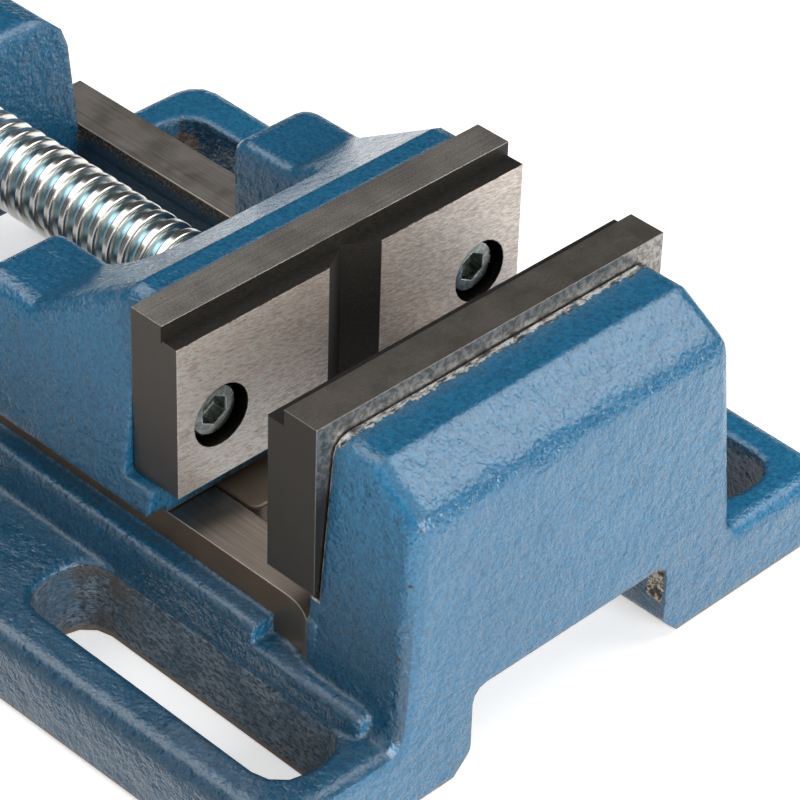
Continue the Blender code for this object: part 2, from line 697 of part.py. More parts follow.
def tongue(collection):
    """Guide of the moving jaw, which runs between the ways and reaches the keeper plate."""
    guide = WAY_INNER - RUNNING_GAP
    neck = LIP_INNER - TONGUE_CLEARANCE
    root = WAY_HEIGHT - WAY_WALL_DEPTH + SEAT_GAP
    rear = JAW_REAR + TONGUE_REAR
    front = JAW_SEAT + TONGUE_FRONT
    upper = box("tongue", (rear, -guide, root), (front, guide, JAW_BOTTOM + SEAT_GAP), collection)
    return joined(upper, box("tongue_neck", (rear, -neck, TONGUE_BOTTOM),
                             (front, neck, JAW_BOTTOM), collection))


def build_moving_jaw(parts, cutters):
    """Sloped casting with two rearward ears and a web that takes the screw's journal."""
    top = MOVING_TOP - JAW_TOP_DROP
    ear_top = MOVING_TOP - EAR_DROP
    ledge = MOVING_TOP - PLATE_HEIGHT - SEAT_GAP
    ledge_front = JAW_SEAT + JAW_LEDGE_LENGTH
    slope_start = JAW_SEAT - JAW_TOP_STRIP
    overhang = JAW_BOTTOM + JAW_OVERHANG_GAP
    jaw = prism("moving_jaw", [rounded([
        (JAW_SEAT, ledge, 0),
        (ledge_front, ledge, 0),
        (ledge_front, JAW_BOTTOM, 0),
        (JAW_REAR, JAW_BOTTOM, 0),
        (JAW_REAR, ear_top, 0),
        (slope_start - JAW_SLOPE_LENGTH, ear_top, JAW_POCKET_ROUND),
        (slope_start, top, 0),
        (JAW_SEAT, top, 0),
    ])], "Y", -JAW_FOOT_HALF_WIDTH, JAW_FOOT_HALF_WIDTH, parts)
    outline = mirrored([
        (WAY_OUTER + SEAT_GAP, JAW_BOTTOM - OVERRUN),
        (WAY_OUTER + SEAT_GAP, overhang),
        (JAW_FOOT_HALF_WIDTH, overhang),
        (JAW_TOP_HALF_WIDTH, top + OVERRUN),
    ])
    ends = prism("jaw_end_view", [outline], "X", JAW_REAR - OVERRUN, ledge_front + OVERRUN, parts)
    joined(jaw, ends, "INTERSECT")
    tidy_faces(jaw.data)

    def rear_corner(edge):
        middle = edge_middle(edge)
        outer = middle.z > overhang + MERGE and abs(middle.y) > WAY_OUTER + MERGE
        return outer and on_level(edge, 0, JAW_REAR) and not on_level(edge, 2, ear_top)

    def rim(edge):
        high = min(vert.co.z for vert in edge.verts) > ear_top - MERGE
        return high and arris(edge) and not on_level(edge, 0, JAW_SEAT)

    def pocket_rim(edge):
        inner = all(abs(vert.co.y) < EAR_INNER + MERGE and vert.co.x < WEB_REAR + MERGE
                    for vert in edge.verts)
        return inner and arris(edge) and not on_level(edge, 2, JAW_BOTTOM)

    round_edges(jaw, rear_corner, JAW_CORNER_ROUND)
    round_edges(jaw, rim, JAW_EDGE_ROUND)
    pocket = rounded([
        (WEB_REAR, -EAR_INNER, JAW_POCKET_ROUND),
        (WEB_REAR, EAR_INNER, JAW_POCKET_ROUND),
        (JAW_REAR - OVERRUN, EAR_INNER, 0),
        (JAW_REAR - OVERRUN, -EAR_INNER, 0),
    ])
    joined(jaw, prism("pocket", [pocket], "Z", JAW_BOTTOM - OVERRUN, MOVING_TOP, parts), "DIFFERENCE")
    round_edges(jaw, pocket_rim, JAW_RIM_ROUND)
    joined(jaw, tongue(parts))
    cut(jaw, bore("journal_bore_cutter", JOURNAL_DIAMETER + 2 * RUNNING_GAP, "X",
                  (WEB_REAR - OVERRUN, 0, SCREW_HEIGHT), JOURNAL_END + SEAT_GAP - WEB_REAR + OVERRUN,
                  cutters, BIG_ROUND_SIDES))
    for side in (-1, 1):
        cut(jaw, bore(f"moving_tap_cutter_{side}", CAP_SHANK_DIAMETER + 2 * SEAT_GAP, "X",
                      (JAW_SEAT - TAP_DEPTH, side * CAP_SPACING / 2, MOVING_TOP - CAP_BELOW_TOP),
                      TAP_DEPTH + OVERRUN, cutters))
        cut(jaw, bore(f"pin_hole_cutter_{side}", PIN_DIAMETER + 2 * SEAT_GAP, "Z",
                      (GROOVE_MIDDLE, side * PIN_OFFSET, TONGUE_BOTTOM - OVERRUN),
                      OVERRUN + PIN_LENGTH + 2 * SEAT_GAP, cutters))
        cut(jaw, bore(f"keeper_tap_cutter_{side}", BOLT_DIAMETER + 2 * SEAT_GAP, "Z",
                      (KEEPER_MIDDLE, side * BOLT_SPACING / 2, TONGUE_BOTTOM - OVERRUN),
                      OVERRUN + BOLT_REACH + 2 * SEAT_GAP, cutters))
    jaw.data.materials.append(finish("blue_enamel"))
    return jaw


def build_lead_screw(parts, cutters):
    """Screw body at crest size, with its journal and groove in the jaw and its head behind the base."""
    body = SCREW_DIAMETER / 2
    journal = JOURNAL_DIAMETER / 2
    groove = GROOVE_DIAMETER / 2
    head = HEAD_DIAMETER / 2
    groove_end = GROOVE_MIDDLE + GROOVE_WIDTH / 2
    groove_start = GROOVE_MIDDLE - GROOVE_WIDTH / 2
    round_turns = [math.pi / 2 * step / FILLET_STEPS for step in range(FILLET_STEPS + 1)]
    rear_round = [(HEAD_REAR + HEAD_ROUND * (1 - math.cos(turn)), head - HEAD_ROUND * (1 - math.sin(turn)))
                  for turn in round_turns]
    profile = [
        (HEAD_REAR, 0),
        *rear_round,
        (HEAD_FRONT - SCREW_CHAMFER, head),
        (HEAD_FRONT, head - SCREW_CHAMFER),
        (HEAD_FRONT, body),
        (SHOULDER - SCREW_CHAMFER, body),
        (SHOULDER, body - SCREW_CHAMFER),
        (SHOULDER, journal),
        (groove_start, journal),
        (groove_start, groove),
        (groove_end, groove),
        (groove_end, journal),
        (JOURNAL_END - SCREW_CHAMFER, journal),
        (JOURNAL_END, journal - SCREW_CHAMFER),
        (JOURNAL_END, 0),
    ]
    screw = turned("lead_screw", profile, "X", (0, 0, SCREW_HEIGHT), parts, BIG_ROUND_SIDES)
    start = (BAR_PLACE, -HEAD_DIAMETER / 2 - OVERRUN, SCREW_HEIGHT)
    cut(screw, bore("bar_hole_cutter", BAR_DIAMETER + 2 * RUNNING_GAP, "Y", start,
                    HEAD_DIAMETER + 2 * OVERRUN, cutters))
    screw.data.materials.append(finish("zinc_plate"))
    return screw


def ring(name, outer, inner, thickness, axis, place, finish_name, parts, cutters):
    """A flat washer."""
    washer = bore(name, outer, axis, place, thickness, parts)
    step = {"X": Vector((OVERRUN, 0, 0)), "Z": Vector((0, 0, OVERRUN))}[axis]
    cut(washer, bore(f"{name}_hole_cutter", inner, axis, Vector(place) - step,
                     thickness + 2 * OVERRUN, cutters))
    washer.data.materials.append(finish(finish_name))
    return washer


def build_screw_pins(parts):
    """Two upright pins that pass beside the journal's groove."""
    pins = []
    radius = PIN_DIAMETER / 2
    low = TONGUE_BOTTOM + SEAT_GAP
    profile = [(0, 0), (0, radius - PIN_CHAMFER), (PIN_CHAMFER, radius), (PIN_LENGTH - PIN_CHAMFER, radius),
               (PIN_LENGTH, radius - PIN_CHAMFER), (PIN_LENGTH, 0)]
    for side, label in SIDES:
        pin = turned(f"screw_pin_{label}", profile, "Z", (GROOVE_MIDDLE, side * PIN_OFFSET, low), parts)
        pin.data.materials.append(finish("bright_steel"))
        pins.append(pin)
    return pins


def build_keeper(parts, cutters):
    """Keeper plate below the lips of the ways, with its bolts and washers."""
    pieces = []
    plate = prism("keeper_plate", [[
        (KEEPER_MIDDLE - KEEPER_LENGTH / 2, -KEEPER_HALF_WIDTH),
        (KEEPER_MIDDLE + KEEPER_LENGTH / 2, -KEEPER_HALF_WIDTH),
        (KEEPER_MIDDLE + KEEPER_LENGTH / 2, KEEPER_HALF_WIDTH),
        (KEEPER_MIDDLE - KEEPER_LENGTH / 2, KEEPER_HALF_WIDTH),
    ]], "Z", KEEPER_TOP - KEEPER_THICKNESS, KEEPER_TOP, parts)
    round_edges(plate, lambda edge: True, KEEPER_EDGE, 1)
    plate.data.materials.append(finish("black_steel"))
    pieces.append(plate)
    washer_bottom = KEEPER_TOP - KEEPER_THICKNESS - SEAT_GAP - BOLT_WASHER_THICKNESS
    head_top = washer_bottom - SEAT_GAP
    head = BOLT_HEAD_WIDTH / math.cos(math.pi / 6) / 2
    shank = BOLT_DIAMETER / 2
    for side, label in SIDES:
        place = side * BOLT_SPACING / 2
        cut(plate, bore(f"keeper_hole_cutter_{label}", BOLT_DIAMETER + 2 * SEAT_GAP, "Z",
                        (KEEPER_MIDDLE, place, KEEPER_TOP - KEEPER_THICKNESS - OVERRUN),
                        KEEPER_THICKNESS + 2 * OVERRUN, cutters))
        pieces.append(ring(f"keeper_washer_{label}", BOLT_WASHER_DIAMETER, BOLT_DIAMETER + 2 * SEAT_GAP,
                           BOLT_WASHER_THICKNESS, "Z", (KEEPER_MIDDLE, place, washer_bottom), "zinc_plate",
                           parts, cutters))
        bolt = bore(f"keeper_bolt_{label}", 2 * head, "Z",
                    (KEEPER_MIDDLE, place, head_top - BOLT_HEAD_HEIGHT), BOLT_HEAD_HEIGHT, parts, 6)
        head_bottom = head_top - BOLT_HEAD_HEIGHT
        round_edges(bolt, lambda edge: edge_middle(edge).z < head_bottom + MERGE, BOLT_CHAMFER, 1)
        reach = TONGUE_BOTTOM + BOLT_REACH - head_top + OVERRUN
        profile = [(0, 0), (0, shank), (reach - BOLT_CHAMFER, shank),
                   (reach, shank - BOLT_CHAMFER), (reach, 0)]
        joined(bolt, turned("bolt_shank", profile, "Z", (KEEPER_MIDDLE, place, head_top - OVERRUN), parts))
        bolt.data.materials.append(finish("zinc_plate"))
        pieces.append(bolt)
    return pieces


def build_tommy_bar(parts, cutters):
    """Sliding bar and its two knobs."""
    radius = BAR_DIAMETER / 2
    bar = turned("tommy_bar", [(0, 0), (0, radius - BAR_CHAMFER), (BAR_CHAMFER, radius),
                               (BAR_LENGTH - BAR_CHAMFER, radius), (BAR_LENGTH, radius - BAR_CHAMFER),
                               (BAR_LENGTH, 0)], "Y", (BAR_PLACE, -BAR_LENGTH / 2, SCREW_HEIGHT), parts)
    bar.data.materials.append(finish("bright_steel"))
    pieces = [bar]
    knob = KNOB_DIAMETER / 2
    neck = KNOB_NECK_DIAMETER / 2
    steps = 2 * FILLET_STEPS
    ball = KNOB_LENGTH - knob
    crown = [(ball + knob * math.sin(turn), knob * math.cos(turn))
             for turn in (math.pi / 2 * step / steps for step in range(steps + 1))]
    profile = [(0, 0), (0, neck), (KNOB_NECK_LENGTH, neck), *crown[:-1], (KNOB_LENGTH, 0)]
    for side, label in SIDES:
        piece = turned(f"tommy_knob_{label}", profile, "Z", (0, 0, 0), parts)
        hole = bore(f"knob_hole_cutter_{label}", BAR_DIAMETER + 2 * SEAT_GAP, "Z", (0, 0, -OVERRUN),
                    OVERRUN + KNOB_OVERLAP + SEAT_GAP, cutters)
        start = side * (BAR_LENGTH / 2 - KNOB_OVERLAP)
        turn = Matrix.Rotation(-side * math.pi / 2, 4, "X")
        home = Matrix.Translation((BAR_PLACE, start, SCREW_HEIGHT)) @ turn
        for thing in (piece, hole):
            thing.data.transform(home)
        cut(piece, hole)
        piece.data.materials.append(finish("black_steel"))
        pieces.append(piece)
    return pieces


def pivot(name, place, parent, parent_place, collection):
    """An empty on a joint's axis, which the pieces of one body hang from."""
    empty = bpy.data.objects.new(name, None)
    empty.location = Vector(place) - Vector(parent_place)
    empty.parent = parent
    collection.objects.link(empty)
    return empty


def hang(things, empty, place):
    for thing in things:
        thing.parent = empty
        thing.matrix_parent_inverse = Matrix.Translation(-Vector(place))


def main():
    for thing in list(bpy.data.objects):
        bpy.data.objects.remove(thing)
    scene = bpy.context.scene.collection
    parts = bpy.data.collections.new("drill_press_vise")
    cutters = bpy.data.collections.new("cutters")
    scene.children.link(parts)
    scene.children.link(cutters)

    fixed = [
        build_base(parts, cutters),
        jaw_plate("fixed_jaw_plate", -PLATE_STACK, -SEAT_GAP, FIXED_TOP, False, parts, cutters),
    ]
    jaw_face = JAW_SEAT + PLATE_STACK
    moving = [
        build_moving_jaw(parts, cutters),
        jaw_plate("moving_jaw_plate", jaw_face, JAW_SEAT + SEAT_GAP, MOVING_TOP, True, parts, cutters),
    ]
    for side, label in SIDES:
        place = side * CAP_SPACING / 2
        fixed.append(cap_screw(f"fixed_plate_screw_{label}", -PLATE_STACK + CAP_RECESS, -1, place,
                               FIXED_TOP - CAP_BELOW_TOP, parts, cutters))
        moving.append(cap_screw(f"moving_plate_screw_{label}", jaw_face - CAP_RECESS, 1, place,
                                MOVING_TOP - CAP_BELOW_TOP, parts, cutters))
    moving += build_screw_pins(parts)
    moving += build_keeper(parts, cutters)
    washer_place = (WEB_REAR - SEAT_GAP - WASHER_THICKNESS, 0, SCREW_HEIGHT)
    moving.append(ring("thrust_washer", WASHER_DIAMETER, JOURNAL_DIAMETER + 2 * RUNNING_GAP,
                       WASHER_THICKNESS, "X", washer_place, "bright_steel", parts, cutters))
    screw = [build_lead_screw(parts, cutters)]
    bar = build_tommy_bar(parts, cutters)

    whole = pivot("vise_origin", (-MIDDLE, 0, 0), None, (0, 0, 0), parts)
    slide_place = (JAW_SEAT, 0, WAY_HEIGHT)
    screw_place = (SHOULDER, 0, SCREW_HEIGHT)
    bar_place = (BAR_PLACE, 0, SCREW_HEIGHT)
    slide = pivot("jaw_slide", slide_place, whole, (0, 0, 0), parts)
    axis = pivot("screw_axis", screw_place, slide, slide_place, parts)
    bar_slide = pivot("bar_slide", bar_place, axis, screw_place, parts)
    hang(fixed + list(cutters.objects), whole, (0, 0, 0))
    hang(moving, slide, slide_place)
    hang(screw, axis, screw_place)
    hang(bar, bar_slide, bar_place)
    for thing in parts.objects:
        if thing.type == "MESH":
            thing.data.shade_smooth()
            thing.data.set_sharp_from_angle(angle=SHARP_ANGLE)


main()
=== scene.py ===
# %% [markdown]
# A drill press vise in three stages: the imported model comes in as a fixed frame, each
# surface gets the finish that the real one has, and the few pieces whose detail is too
# fine for the solid model, such as the screw's thread, are made here in full.
#
# The frame could be left as it is and painted in flat colours. But a casting is known by
# its skin and a machined face by its grain, so most of this lesson is about finishes.

# %% Load the frame
import json
import math
import bmesh
import bpy
from mathutils import Matrix, Vector


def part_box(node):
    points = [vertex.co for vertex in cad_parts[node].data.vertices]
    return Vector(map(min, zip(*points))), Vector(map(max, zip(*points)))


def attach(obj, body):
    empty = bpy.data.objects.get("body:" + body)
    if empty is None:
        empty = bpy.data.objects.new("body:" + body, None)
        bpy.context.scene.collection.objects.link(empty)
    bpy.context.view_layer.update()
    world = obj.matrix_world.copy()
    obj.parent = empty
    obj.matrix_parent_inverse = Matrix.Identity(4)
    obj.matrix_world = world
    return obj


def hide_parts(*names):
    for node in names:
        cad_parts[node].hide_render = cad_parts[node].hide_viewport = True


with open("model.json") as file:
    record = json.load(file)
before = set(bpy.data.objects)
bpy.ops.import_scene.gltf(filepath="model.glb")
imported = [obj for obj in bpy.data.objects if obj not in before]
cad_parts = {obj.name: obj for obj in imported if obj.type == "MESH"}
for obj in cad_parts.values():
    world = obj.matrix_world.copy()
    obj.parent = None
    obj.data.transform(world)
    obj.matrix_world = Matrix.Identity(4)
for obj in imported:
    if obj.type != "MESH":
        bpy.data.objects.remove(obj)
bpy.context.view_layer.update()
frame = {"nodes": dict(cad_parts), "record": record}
nodes = frame["nodes"]
print("pieces in the frame:", len(nodes))

# %% [markdown]
# The camera stands where the photographer stood: in front of the fixed jaw, to the near
# side, looking down at about 37 degrees with a long lens. A Track To constraint could aim
# it, but a photograph is seldom level, so it is turned about Z, then tipped, then rolled.

# %% Camera
CAMERA_PLACE = Vector((0.41184, -0.35302, 0.41638))
HEADING, TILT, ROLL = (math.radians(angle) for angle in (44.27, 52.74, 1.88))
LONG_LENS = 165.5
scene = bpy.context.scene
camera_data = bpy.data.cameras.new("camera")
camera_data.lens = LONG_LENS
camera_data.clip_end = 20
camera = bpy.data.objects.new("camera", camera_data)
scene.collection.objects.link(camera)
camera.matrix_world = (Matrix.Translation(CAMERA_PLACE) @ Matrix.Rotation(HEADING, 4, "Z")
                       @ Matrix.Rotation(TILT, 4, "X") @ Matrix.Rotation(ROLL, 4, "Z"))
scene.camera = camera
scene.view_settings.view_transform = "Standard"
print("camera distance in mm:", round(CAMERA_PLACE.length * 1000))

# %% [markdown]
# A material is a tree of nodes. It can be drawn by hand in the shader editor, but a script
# is easier to read back and to repeat. `add` puts one node in a tree and fills its inputs
# by name, with a number, a colour or another node's socket, so one line makes one node.
# `calc` is the Math node, and `over` and `under` are the comparisons that masks are made of.

# %% Placing shader nodes
def fill(tree, socket, value):
    if isinstance(value, bpy.types.NodeSocket):
        tree.links.new(value, socket)
    else:
        socket.default_value = value


def add(tree, kind, settings=None, **inputs):
    """Put a node in a tree. Input names use _ for a space, and i0, i1 for unnamed inputs."""
    node = tree.nodes.new("ShaderNode" + kind)
    for key, value in (settings or {}).items():
        setattr(node, key, value)
    for key, value in inputs.items():
        numbered = key[0] == "i" and key[1:].isdigit()
        socket = node.inputs[int(key[1:])] if numbered else node.inputs[key.replace("_", " ")]
        fill(tree, socket, value)
    return node


def calc(tree, operation, first, second=0.0, third=0.0):
    return add(tree, "Math", {"operation": operation}, i0=first, i1=second, i2=third).outputs[0]


def over(tree, value, limit):
    return calc(tree, "GREATER_THAN", value, limit)


def under(tree, value, limit):
    return calc(tree, "LESS_THAN", value, limit)


def rgb(red, green, blue):
    return (red, green, blue, 1.0)


# %% [markdown]
# The world is the white room round a product table. The camera and every reflection see it
# at full white, while the light that it sheds on the object is lower. One strength for both
# would grey the background or bleach the blue paint, so Light Path tells the rays apart.

# %% World
WORLD_LIGHT = 0.40
WHITE = rgb(1, 1, 1)


def white_rays(tree, path):
    """1 on the rays that find white: from the camera, off a mirror or through glass."""
    seen = calc(tree, "MAXIMUM", path["Is Camera Ray"], path["Is Glossy Ray"])
    return calc(tree, "MAXIMUM", seen, path["Is Transmission Ray"])


world = bpy.data.worlds.new("studio")
scene.world = world
world.use_nodes = True
sky = world.node_tree
sky.nodes.clear()
seen = white_rays(sky, add(sky, "LightPath").outputs)
strength = add(sky, "MapRange", Value=seen, To_Min=WORLD_LIGHT, To_Max=1.0).outputs[0]
light = add(sky, "Background", Color=WHITE, Strength=strength).outputs[0]
add(sky, "OutputWorld", Surface=light)
print("world light on the object:", WORLD_LIGHT)

# %% [markdown]
# The floor is a sheet of white paper, a fifth of a millimetre under the vise, so that two
# faces never share one place. Paper alone renders grey between the lamps, and more lamp
# would bleach the vise. So the paper glows a little, for the camera more than for
# reflections, and still takes the shadow.

# %% Floor
FLOOR_REACH, FLOOR_DROP = 1.5, 0.0002
GLOW, CAMERA_GLOW = 0.22, 0.20


def new_material(name):
    material = bpy.data.materials.new(name)
    material.use_nodes = True
    material.node_tree.nodes.clear()
    return material, material.node_tree


def surface(tree, **inputs):
    """The Principled shader of a material, wired to its output."""
    shader = add(tree, "BsdfPrincipled", **inputs)
    add(tree, "OutputMaterial", Surface=shader.outputs[0])


def mesh_piece(name, work):
    """An object in the scene from a finished bmesh."""
    mesh = bpy.data.meshes.new(name)
    work.to_mesh(mesh)
    work.free()
    thing = bpy.data.objects.new(name, mesh)
    scene.collection.objects.link(thing)
    return thing


work = bmesh.new()
bmesh.ops.create_grid(work, x_segments=1, y_segments=1, size=FLOOR_REACH)
floor = mesh_piece("studio_floor", work)
floor.location.z = -FLOOR_DROP
material, tree = new_material("studio_floor")
path = add(tree, "LightPath").outputs
extra = calc(tree, "MULTIPLY", path["Is Camera Ray"], CAMERA_GLOW)
surface(tree, Base_Color=rgb(0.93, 0.93, 0.93), Roughness=0.9, Emission_Color=WHITE,
        Emission_Strength=calc(tree, "MULTIPLY_ADD", white_rays(tree, path), GLOW, extra))
floor.data.materials.append(material)
print("floor reaches", FLOOR_REACH, "m each way")

# %% [markdown]
# Polished metal shows what stands round it, and in an all-white room it looks like plaster.
# Photographers stand black cards beside the table. Real ones would take light from the vise
# and show in the picture, so these cards are seen by reflections alone. The first is a dark
# wall all round the table.

# %% Dark wall
def dark_card(name, work, strength):
    """Turn a bmesh into a card of one brightness that only reflections see."""
    card = mesh_piece(name, work)
    material, tree = new_material(name)
    glow = add(tree, "Emission", Color=WHITE, Strength=strength)
    add(tree, "OutputMaterial", Surface=glow.outputs[0])
    card.data.materials.append(material)
    for ray in ("camera", "diffuse", "transmission", "volume_scatter", "shadow"):
        setattr(card, "visible_" + ray, False)
    print(name, "brightness", strength)


DARK, GREY = 0.05, 0.5
WALL_RADIUS, WALL_HEIGHT, WALL_MIDDLE = 1.3, 1.16, 0.60
work = bmesh.new()
bmesh.ops.create_cone(work, cap_ends=False, segments=96, radius1=WALL_RADIUS, radius2=WALL_RADIUS,
                      depth=WALL_HEIGHT)
bmesh.ops.translate(work, vec=(0, 0, WALL_MIDDLE), verts=work.verts)
dark_card("studio_dark_wall", work, DARK)

# %% [markdown]
# Level faces mirror what hangs over the far rear of the table, so a dark canopy leans in
# there, as a quarter of a ring. The sides near the floor mirror the floor, and a grey card
# on the near side keeps it from washing out the paint. A lower wall could do neither.

# %% Canopy and grey card
CANOPY_RINGS = ((1.28, 1.1), (0.55, 1.25))
CANOPY_START, CANOPY_SWEEP, CANOPY_STEPS = 90, 85, 12
work = bmesh.new()
turns = [math.radians(CANOPY_START + CANOPY_SWEEP * step / CANOPY_STEPS) for step in range(CANOPY_STEPS + 1)]
outer, inner = ([work.verts.new((radius * math.cos(turn), radius * math.sin(turn), height)) for turn in turns]
                for radius, height in CANOPY_RINGS)
for index in range(CANOPY_STEPS):
    work.faces.new((outer[index], outer[index + 1], inner[index + 1], inner[index]))
dark_card("studio_dark_canopy", work, DARK)

NEAR_EDGE = -0.074
work = bmesh.new()
corners = ((-0.7, -0.9), (0.10, -0.9), (0.10, NEAR_EDGE), (-0.7, NEAR_EDGE))
work.faces.new([work.verts.new((x, y, 0.001)) for x, y in corners])
dark_card("studio_grey_card", work, GREY)

# %% [markdown]
# Four soft boxes light the vise. The one before the fixed jaw does most of the work and
# makes its end face pale, the far one lights the level faces, and two weak ones open the
# shadows behind and on the near side. A sun lamp would be simpler, but it has no size, and
# the soft borders of the light on paint come from the size of the lamp.

# %% Lamps
LAMPS = (
    ("soft_box_front", (1.05, -0.20, 0.40), (0.05, 0, 0.02), (0.7, 0.5), 10.2),
    ("soft_box_far", (0.40, 0.66, 0.82), (0.05, 0, 0.03), (0.7, 0.7), 3.9),
    ("soft_box_rear", (-0.55, -0.09, 0.86), (0, 0, 0.03), (0.7, 0.6), 2.5),
    ("soft_box_near", (-0.25, -1.0, 0.42), (0, 0, 0.02), (0.8, 0.8), 1.2),
)
for name, place, target, size, power in LAMPS:
    data = bpy.data.lights.new(name, "AREA")
    data.shape = "RECTANGLE"
    data.size, data.size_y = size
    data.energy = power
    lamp = bpy.data.objects.new(name, data)
    scene.collection.objects.link(lamp)
    lamp.location = place
    lamp.rotation_euler = (Vector(target) - Vector(place)).to_track_quat("-Z", "Y").to_euler()

# %% [markdown]
# An effect that several finishes share, such as a worn edge, is a node group: it is built
# once, and each material places it with its own values. Every length is in metres, so a
# noise scale of 500 makes lumps about 2 mm across.

# %% Node groups
SOCKETS = {"vector": "NodeSocketVector", "value": "NodeSocketFloat", "colour": "NodeSocketColor"}
ORIGIN = ("Vector", "vector", (0, 0, 0))


def new_group(name, inputs, outputs):
    """An empty node group. Inputs are (name, kind, default), outputs are (name, kind)."""
    group = bpy.data.node_groups.new(name, "ShaderNodeTree")
    for label, kind, default in inputs:
        socket = group.interface.new_socket(label, in_out="INPUT", socket_type=SOCKETS[kind])
        socket.default_value = default
    for label, kind in outputs:
        group.interface.new_socket(label, in_out="OUTPUT", socket_type=SOCKETS[kind])
    print("group", name, "gives", [label for label, kind in outputs])
    return group, group.nodes.new("NodeGroupInput").outputs, group.nodes.new("NodeGroupOutput")


def give(group, result, **values):
    """Wire values to the group's outputs."""
    for label, value in values.items():
        group.links.new(value, result.inputs[label])


def use(tree, name, **inputs):
    """Place a finished group in a tree, and hand back its outputs."""
    node = tree.nodes.new("ShaderNodeGroup")
    node.node_tree = bpy.data.node_groups[name]
    for key, value in inputs.items():
        fill(tree, node.inputs[key], value)
    return node.outputs


# %% [markdown]
# An arris is the sharp edge where two machined faces meet, and on a used tool it catches a
# line of light. Real bevels on every edge would change the frame's meshes. The Bevel node
# gives the normal of a rounded edge without moving a point, and where that differs from
# the true normal, there is an edge.

# %% Arris: where an edge is, and its softened normal
def ramp(tree, value, low, high, start=0.0, end=1.0):
    """Smooth step of a value from low to high."""
    return add(tree, "MapRange", {"interpolation_type": "SMOOTHSTEP"}, Value=value,
               From_Min=low, From_Max=high, To_Min=start, To_Max=end).outputs[0]


group, given, result = new_group("arris", [("Radius", "value", 0.0003)],
                                 [("Edge", "value"), ("Normal", "vector")])
soft = add(group, "Bevel", {"samples": 6}, Radius=given["Radius"]).outputs[0]
exact = add(group, "NewGeometry").outputs["Normal"]
alike = add(group, "VectorMath", {"operation": "DOT_PRODUCT"}, i0=soft, i1=exact).outputs["Value"]
give(group, result, Edge=ramp(group, alike, 0.995, 0.86), Normal=soft)

# %% [markdown]
# Iron poured in sand keeps the sand's skin under its paint: broad lumps, a fine orange peel
# over them and a few sunken pits. Sculpting it would need millions of faces. Three sizes of
# noise added up give the same height, and Depth sets how strong it is.

# %% Cast skin
def scaled(tree, vector, factors):
    """The vector with each axis multiplied, which stretches a pattern drawn from it."""
    return add(tree, "VectorMath", {"operation": "MULTIPLY"}, i0=vector, i1=factors).outputs[0]


def noise(tree, vector, scale, detail=2.0, roughness=0.5, stretch=None):
    """Noise from 0 to 1; stretch squeezes the pattern along each axis."""
    if stretch:
        vector = scaled(tree, vector, stretch)
    return add(tree, "TexNoise", Vector=vector, Scale=scale, Detail=detail, Roughness=roughness).outputs[0]


LUMP_HEIGHT, PEEL_HEIGHT, SWELL_HEIGHT = 0.00022, 0.00015, 0.0006
group, given, result = new_group("cast_skin", [ORIGIN, ("Depth", "value", 1.0)],
                                 [("Height", "value"), ("Pits", "value"), ("Peel", "value")])
place = given["Vector"]
peel = noise(group, place, 1500, 2.0, 0.55)
height = calc(group, "MULTIPLY", noise(group, place, 760, 2.0, 0.5), LUMP_HEIGHT)
height = calc(group, "MULTIPLY_ADD", peel, PEEL_HEIGHT, height)
height = calc(group, "MULTIPLY_ADD", noise(group, place, 170, 2.0), SWELL_HEIGHT, height)
give(group, result, Height=calc(group, "MULTIPLY", height, given["Depth"]),
     Pits=ramp(group, peel, 0.34, 0.27), Peel=peel)

# %% [markdown]
# A cutter, a grinding wheel or a drawing die leaves fine lines one way across the metal,
# with a few deeper scratches. An image of brushed metal would do, but it has one size and
# one direction. Noise stretched along one axis by Stretch serves every tool.

# %% Tool marks
group, given, result = new_group("tool_marks", [ORIGIN, ("Stretch", "vector", (1, 1, 1)),
                                                ("Scale", "value", 2000.0)],
                                 [("Grain", "value"), ("Scratches", "value"), ("Blotches", "value")])
along = scaled(group, given["Vector"], given["Stretch"])
lines = noise(group, along, calc(group, "MULTIPLY", given["Scale"], 0.3), 1.0)
give(group, result, Grain=noise(group, along, given["Scale"], 3.0, 0.65),
     Scratches=ramp(group, lines, 0.36, 0.27), Blotches=noise(group, given["Vector"], 160, 4.0, 0.6))

# %% [markdown]
# Dust and nicks are small separate spots. Noise makes clouds, not spots, so this group cuts
# space into cells, picks a share of them by Amount, and keeps a ragged dot in each one.

# %% Specks
group, given, result = new_group("specks", [ORIGIN, ("Scale", "value", 300.0),
                                            ("Amount", "value", 0.05), ("Size", "value", 0.2)],
                                 [("Spots", "value")])
place = given["Vector"]
cells = add(group, "TexVoronoi", Vector=place, Scale=given["Scale"]).outputs
chance = add(group, "SeparateColor", Color=cells["Color"]).outputs[0]
chosen = under(group, chance, given["Amount"])
ragged = calc(group, "MULTIPLY_ADD", noise(group, place, 4000, 1.0), 0.25, cells["Distance"])
near = under(group, ragged, calc(group, "ADD", given["Size"], 0.12))
give(group, result, Spots=calc(group, "MULTIPLY", chosen, near))

# %% [markdown]
# A finish is built up as a painter does it: a ground colour first, then each layer over it
# through its own mask. The Mix node does that for colours, plain values and normals, and a
# short table says where its sockets are for each. `bump` turns a height in metres into a
# normal, which is how a fine relief stays cheap.

# %% Layers and reliefs
MIX_PLACES = {"RGBA": (6, 7, 2), "FLOAT": (2, 3, 0), "VECTOR": (4, 5, 1)}


def mix(tree, factor, first, second, kind="RGBA"):
    """Blend two colours, or two values or normals, as the kind says."""
    node = tree.nodes.new("ShaderNodeMix")
    node.data_type = kind
    low, high, out = MIX_PLACES[kind]
    for index, value in ((0, factor), (low, first), (high, second)):
        fill(tree, node.inputs[index], value)
    return node.outputs[out]


def blend(tree, factor, first, second):
    """Blend two plain values."""
    return mix(tree, factor, first, second, "FLOAT")


def times(tree, first, second):
    return calc(tree, "MULTIPLY", first, second)


